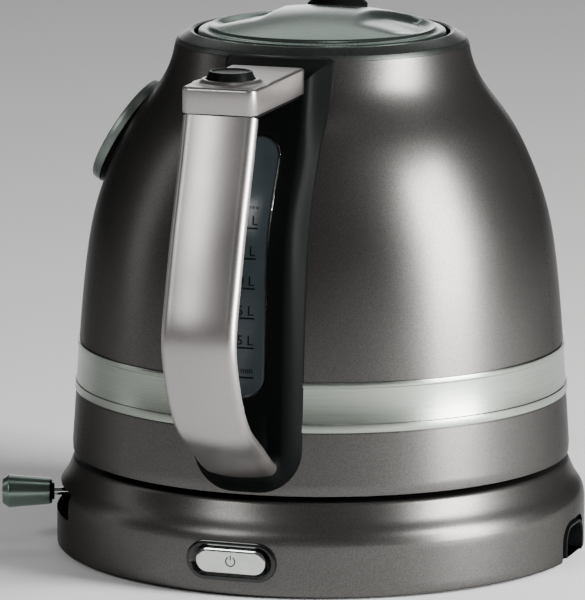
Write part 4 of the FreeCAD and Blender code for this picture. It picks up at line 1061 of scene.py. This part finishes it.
def makeLever():
    d = lever
    knobLow, knobHigh = d["knobFrom"], d["knobTo"]
    place = angledPlace(d["angle"], 0.0, d["z"])
    outline = rounded([(0.0, knobLow, 0), (4.6, knobLow, 0.6), (5.3, knobLow + 0.9, 0.6), (6.7, knobHigh - 2.6, 0.5),
                       (5.0, knobHigh - 0.1, 0.4), (4.6, knobHigh, 0.1), (4.3, knobHigh - 0.5, 0.2),
                       (0.0, knobHigh - 0.5, 0)], 5)
    knob = turned("leverKnob", outline, lidSteel, 96, place=place, smoothAngle=28)
    seat(knob, "temperature_lever", "chrome_trim", "lever_knob")
    outline = [(1.6, knobLow - 0.9), (3.4, knobLow - 0.9), (3.4, knobLow + 0.4), (1.6, knobLow + 0.4),
               (1.6, knobLow - 0.9)]
    collar = turned("leverCollar", outline, blackPlastic, 48, place=place)
    seat(collar, "temperature_lever", "black_plastic")


def makeSlotPlate():
    # the pale ticks and numbers on the curved plate seen through the slot
    d = lever
    ticks = []
    for i in range(d["ticks"]):
        angle = d["scaleFrom"] + d["tickStep"] * i
        tall = d["longTick"] if i % 3 == 0 else d["shortTick"]
        mark = boxMesh("tick", (-0.16, -tall / 2, -0.02), (0.16, tall / 2, 0.05))
        mark.transform(angledPlace(angle, d["plateR"] + 0.03, d["tickTop"] - (d["longTick"] - tall) / 2))
        ticks.append(mark)
    for i, text in enumerate(("50", "60", "70", "80", "90")):
        angle = d["scaleFrom"] + 3 * d["tickStep"] * i
        ticks.append(textMesh("number", text, 2.4, angledPlace(angle, d["plateR"] + 0.04, d["numberZ"])))
    marks = joined("slotScale", ticks, inkPale)
    seat(marks, "base", "chrome_trim")


makeLever()
makeSlotPlate()


# power button, its stepped surround and its symbol
def makePowerButton():
    d = {"angle": -2.0, "z": 14.4, "wide": 29.3, "tall": 10.0, "outR": 107.8,
         "surroundWide": 37.0, "surroundTall": 15.6}
    place = angledPlace(d["angle"], 0.0, d["z"])
    w, h = d["wide"] / 2, d["tall"] / 2
    rings = []
    for inset, out in ((0.0, 103.8), (0.0, 107.0), (0.3, 107.5), (0.8, 107.75), (1.5, 107.8)):
        rings.append([(y, z, out) for y, z in uprightOutline(w, -h, h, h, h, inset, 10, 1, 8)])
    cap = layeredPiece("powerCap", placedRings(rings, place), chrome, True, True, 30)
    seat(cap, "power_switch", "chrome_trim", "power_button")
    sw, sh = d["surroundWide"] / 2, d["surroundTall"] / 2
    rings = []
    for inset, out in ((0.0, 104.6), (0.0, 107.45), (0.5, 107.7), (1.4, 107.7), (1.7, 107.4),
                       (2.4, 106.6), (3.2, 106.2)):
        rings.append([(y, z, out) for y, z in uprightOutline(sw, -sh, sh, sh, sh, inset, 10, 1, 8)])
    hole = uprightOutline(w + 0.35, -h - 0.35, h + 0.35, h + 0.35, h + 0.35, 0.0, 10, 1, 8)
    rings.append([(y, z, 106.1) for y, z in hole])
    rings.append([(y, z, 103.0) for y, z in hole])
    frameRim = layeredPiece("buttonSurround", placedRings(rings + [[(y * 1.05, z * 1.05, 103.0) for y, z in hole],
                            [p for p in rings[0]]], place), glossBlack, False, False, 30)
    seat(frameRim, "base", "black_plastic", "button_surround")
    # generic power symbol: a broken ring with a bar
    ringSteps, inner, outer, top = 40, 1.65, 2.1, 107.84
    vertices, faces = [], []
    for i in range(ringSteps + 1):
        a = math.radians(90 + 32 + (360 - 64) * i / ringSteps)
        for r, z in ((inner, 107.7), (outer, 107.7), (outer, top), (inner, top)):
            vertices.append(tuple(place @ (Vector((r * math.cos(a), r * math.sin(a), z)) * mm)))
    for i in range(ringSteps):
        for k in range(4):
            n = (k + 1) % 4
            faces.append((i * 4 + k, i * 4 + n, i * 4 + 4 + n, i * 4 + 4 + k))
    faces += [(3, 2, 1, 0), tuple(ringSteps * 4 + k for k in range(4))]
    arc = bpy.data.meshes.new("arc")
    arc.from_pydata(vertices, [], faces)
    bar = boxMesh("bar", (-0.22, 0.5, 107.7), (0.22, 2.4, top))
    bar.transform(place)
    symbol = joined("powerSymbol", [arc, bar], inkDark)
    seat(symbol, "power_switch", "chrome_trim")


makePowerButton()


# cord outlet: arched liner through the back of the base
def makeCordOutlet():
    tunnelLow, tunnelTop = low("cord_tunnel")[2], high("cord_tunnel")[2]
    half, reach, depth = high("cord_tunnel")[0], high("cord_tunnel")[1], low("cord_tunnel")[1]
    rings = []
    for inset, y in ((0.0, reach - 5.0), (0.0, reach - 0.5), (0.4, reach + 0.25), (1.2, reach + 0.25),
                     (1.8, reach - 0.6),
                     (1.8, depth), (0.3, depth), (0.0, reach - 5.0)):
        outline = uprightOutline(half, tunnelLow - 3.0, tunnelTop, 0.5, 7.5, inset, 10, 6, 4)
        rings.append([(-x * mm, y * mm, max(z, tunnelLow) * mm) for x, z in outline])
    tunnel = layeredPiece("cordTunnel", rings, blackPlastic, False, False, 40)
    seat(tunnel, "base", "black_plastic", "cord_tunnel")


makeCordOutlet()
print("controls done")


# feet, underside and screws; the vent slots and the screws are repeated by a node tree
def makeFeet():
    footLow, footTop = low("base_feet")[2], high("base_feet")[2]
    meshes = []
    for x, y in [(0.0, 0.0)] + [(88.3 * math.cos(math.radians(20 + 90 * k)), 88.3 * math.sin(math.radians(20 + 90 * k)))
                                for k in range(4)]:
        outline = rounded([(0.0, footLow + 0.3, 0), (5.4, footLow + 0.3, 0.2), (5.9, footLow, 0.3), (7.9, footLow, 0.4),
                           (7.95, footTop, 0), (0.0, footTop, 0)], 4)
        foot = turned("foot", outline, rubber, 48, place=Matrix.Translation((x * mm, y * mm, 0)))
        meshes.append(foot.data)
        bpy.data.objects.remove(foot)
    feet = joined("baseFeet", meshes, rubber)
    seat(feet, "base", "rubber", "base_feet")


def makeScrews(name, body, radius, headLow, headHigh, firstAngle, faceDown):
    # pan heads with a cross recess; the seed screw is lathed, then repeated round the axis
    size = 3.0
    up = 1 if not faceDown else -1
    face, back = (headHigh, headLow) if not faceDown else (headLow, headHigh)
    outline = rounded([(0.0, face, 0), (size * 0.7, face, 0.6), (size, face - up * 0.9, 0.3), (size, back, 0),
                       (0.0, back, 0)], 4)
    seedPiece = turned("screwSeed", outline, wireSteel, 32)
    crosses = []
    for wide, long in ((0.35, 1.5), (1.5, 0.35)):
        mesh = boxMesh("cross", (-wide, -long, face - 0.5), (wide, long, face + 0.5))
        crosses.append(bpy.data.objects.new("cross", mesh))
        bpy.context.scene.collection.objects.link(crosses[-1])
    cutAway(seedPiece, crosses)
    seedMesh = seedPiece.data
    bpy.data.objects.remove(seedPiece)
    mesh = repeatedRound(name, seedMesh, wireSteel, 4, radius, firstAngle, 90.0)
    screws = finishMesh(name, mesh, wireSteel, 30)
    seat(screws, body, "vessel_steel")


def makeUnderside():
    # base cover with a shallow rim, ribs and vent slots, and the socket's recess
    coverLow, coverTop = low("base_cover")[2], high("base_cover")[2]
    outline = rounded([(0.0, coverLow + 0.4, 0), (26.0, coverLow + 0.4, 0.2), (27.0, coverLow, 0.2),
                       (78.0, coverLow, 0.2),
                       (79.0, coverLow + 0.4, 0.2), (97.0, coverLow + 0.4, 0.2), (98.0, coverLow, 0.2),
                       (104.5, coverLow, 0.4),
                       (104.5, coverTop, 0), (0.0, coverTop, 0)], 3)
    cover = turned("baseUnderside", outline, blackPlastic, 160)
    slots = []
    for ring, radius in enumerate((38.0, 48.0)):
        seed = boxMesh("vent", (-3.2, -0.9, coverLow - 1), (3.2, 0.9, coverTop - 0.6))
        mesh = repeatedRound("ventRing", seed, blackPlastic, 18, radius, 10.0 * ring, 20.0)
        cutter = bpy.data.objects.new("ventCutter", mesh)
        bpy.context.scene.collection.objects.link(cutter)
        slots.append(cutter)
    cutAway(cover, slots)
    seat(cover, "base", "black_plastic", "base_cover")


makeFeet()
makeUnderside()
makeScrews("baseScrewHeads", "base", 62.0, low("base_cover")[2] - 0.05, low("base_cover")[2] + 1.2, 45.0, True)
print("underside done")


# the filter behind the spout
def makeFilter():
    x0, x1 = low("spout_filter")[0], high("spout_filter")[0]
    y1, z0, z1 = high("spout_filter")[1], low("spout_filter")[2], high("spout_filter")[2]
    slats = []
    for i in range(23):
        y = -y1 + 1.2 + (2 * y1 - 2.4) * i / 22
        slats.append(boxMesh("slat", (x0 + 0.25, y - 0.28, z0 + 1), (x1 - 0.25, y + 0.28, z1 - 1)))
    for z in (z0, (z0 + z1) / 2 - 0.5, z1 - 1.2):
        slats.append(boxMesh("rail", (x0, -y1, z), (x1, y1, z + 1.2)))
    for y in (-y1, y1 - 1.2):
        slats.append(boxMesh("post", (x0 + 0.05, y + 0.05, z0 + 0.05), (x1 - 0.05, y + 1.15, z1 - 0.05)))
    mesh = joined("filterSlats", slats, vesselSteel)
    seat(mesh, "kettle", "vessel_steel", "spout_filter")


makeFilter()


# camera
def lookAt(obj, position, target, roll=0.0):
    direction = Vector(target) - Vector(position)
    obj.matrix_world = Matrix.Translation(position) @ direction.to_track_quat("-Z", "Y").to_matrix().to_4x4() \
        @ Matrix.Rotation(math.radians(roll), 4, "Z")


view = {"position": (2.4904, 0.7709, 0.5754), "target": (0.0, 0.0, 0.10023), "lens": 392.6, "shift": -0.0482,
        "roll": 0.175}
camera = bpy.data.objects.new("camera", bpy.data.cameras.new("camera"))
bpy.context.scene.collection.objects.link(camera)
camera.data.lens = view["lens"]
camera.data.shift_x = view["shift"]
camera.data.clip_start = 0.05
lookAt(camera, view["position"], view["target"], view["roll"])
bpy.context.scene.camera = camera
bpy.context.scene.render.resolution_x, bpy.context.scene.render.resolution_y = 585, 600

# floor: plain, pale, only for the picture
floorMesh = bpy.data.meshes.new("floor")
floorMesh.from_pydata([(-6, -6, 0), (6, -6, 0), (6, 6, 0), (-6, 6, 0)], [], [(0, 1, 2, 3)])
floor = bpy.data.objects.new("floor", floorMesh)
bpy.context.scene.collection.objects.link(floor)
floorMesh.materials.append(surface("pale studio paper", "#f4f4f4", "#f7f7f7", 0.75, {"grain": 4.0}))

# studio light: a pale zone behind in a dim room, a tall soft box at the right, weaker ones at the left, above, behind
studio = {"surround": "#bcbcbc", "room": "#1d1d1d", "surroundPower": 7.0, "brightTo": -0.992, "dimFrom": -0.955,
          "boxes": (("keyRight", 64, 16, 1.6, (0.62, 1.12), 95, "#ffffff"),
                    ("frontLeft", -44, 30, 1.8, (0.45, 0.7), 9, "#ffffff"),
                    ("fillLeft", -100, 18, 1.8, (0.4, 1.4), 2.2, "#ffffff"),
                    ("top", 30, 77, 1.8, (0.3, 0.3), 1.0, "#ffffff"),
                    ("behind", 180, 40, 2.4, (1.8, 0.7), 5, "#ffffff"))}
cameraHeading = math.atan2(view["position"][1], view["position"][0])
world = bpy.data.worlds.new("studio")
bpy.context.scene.world = world
world.use_nodes = True
sky = world.node_tree
# pale behind the kettle, falling to a dim room on the camera's side
direction = addNode(sky, "ShaderNodeTexCoord").outputs["Generated"]
toward = addNode(sky, "ShaderNodeVectorMath", {"operation": "DOT_PRODUCT"},
                 {0: direction, 1: (math.cos(cameraHeading), math.sin(cameraHeading), 0.0)}).outputs["Value"]
share = addNode(sky, "ShaderNodeMapRange", None,
                {"Value": toward, "From Min": studio["brightTo"], "From Max": studio["dimFrom"]}).outputs[0]
tone = addNode(sky, "ShaderNodeMix", {"data_type": "RGBA"},
               {0: share, 6: linearColour(studio["surround"]), 7: linearColour(studio["room"])}).outputs[2]
sky.links.new(tone, sky.nodes["Background"].inputs[0])
sky.nodes["Background"].inputs[1].default_value = studio["surroundPower"]
for name, aside, above, far, size, power, tint in studio["boxes"]:
    # aside is counted from the camera, positive to its right; above is the height angle
    heading = cameraHeading + math.radians(aside)
    climb = math.radians(above)
    spot = Vector((math.cos(heading) * math.cos(climb), math.sin(heading) * math.cos(climb),
                   math.sin(climb))) * far + Vector((0, 0, 0.1))
    light = bpy.data.lights.new(name, "AREA")
    light.shape = "RECTANGLE"
    light.size, light.size_y = size
    light.energy = power
    light.color = linearColour(tint)[:3]
    lamp = bpy.data.objects.new(name, light)
    bpy.context.scene.collection.objects.link(lamp)
    lookAt(lamp, spot, (0, 0, 0.1))
print("studio done")
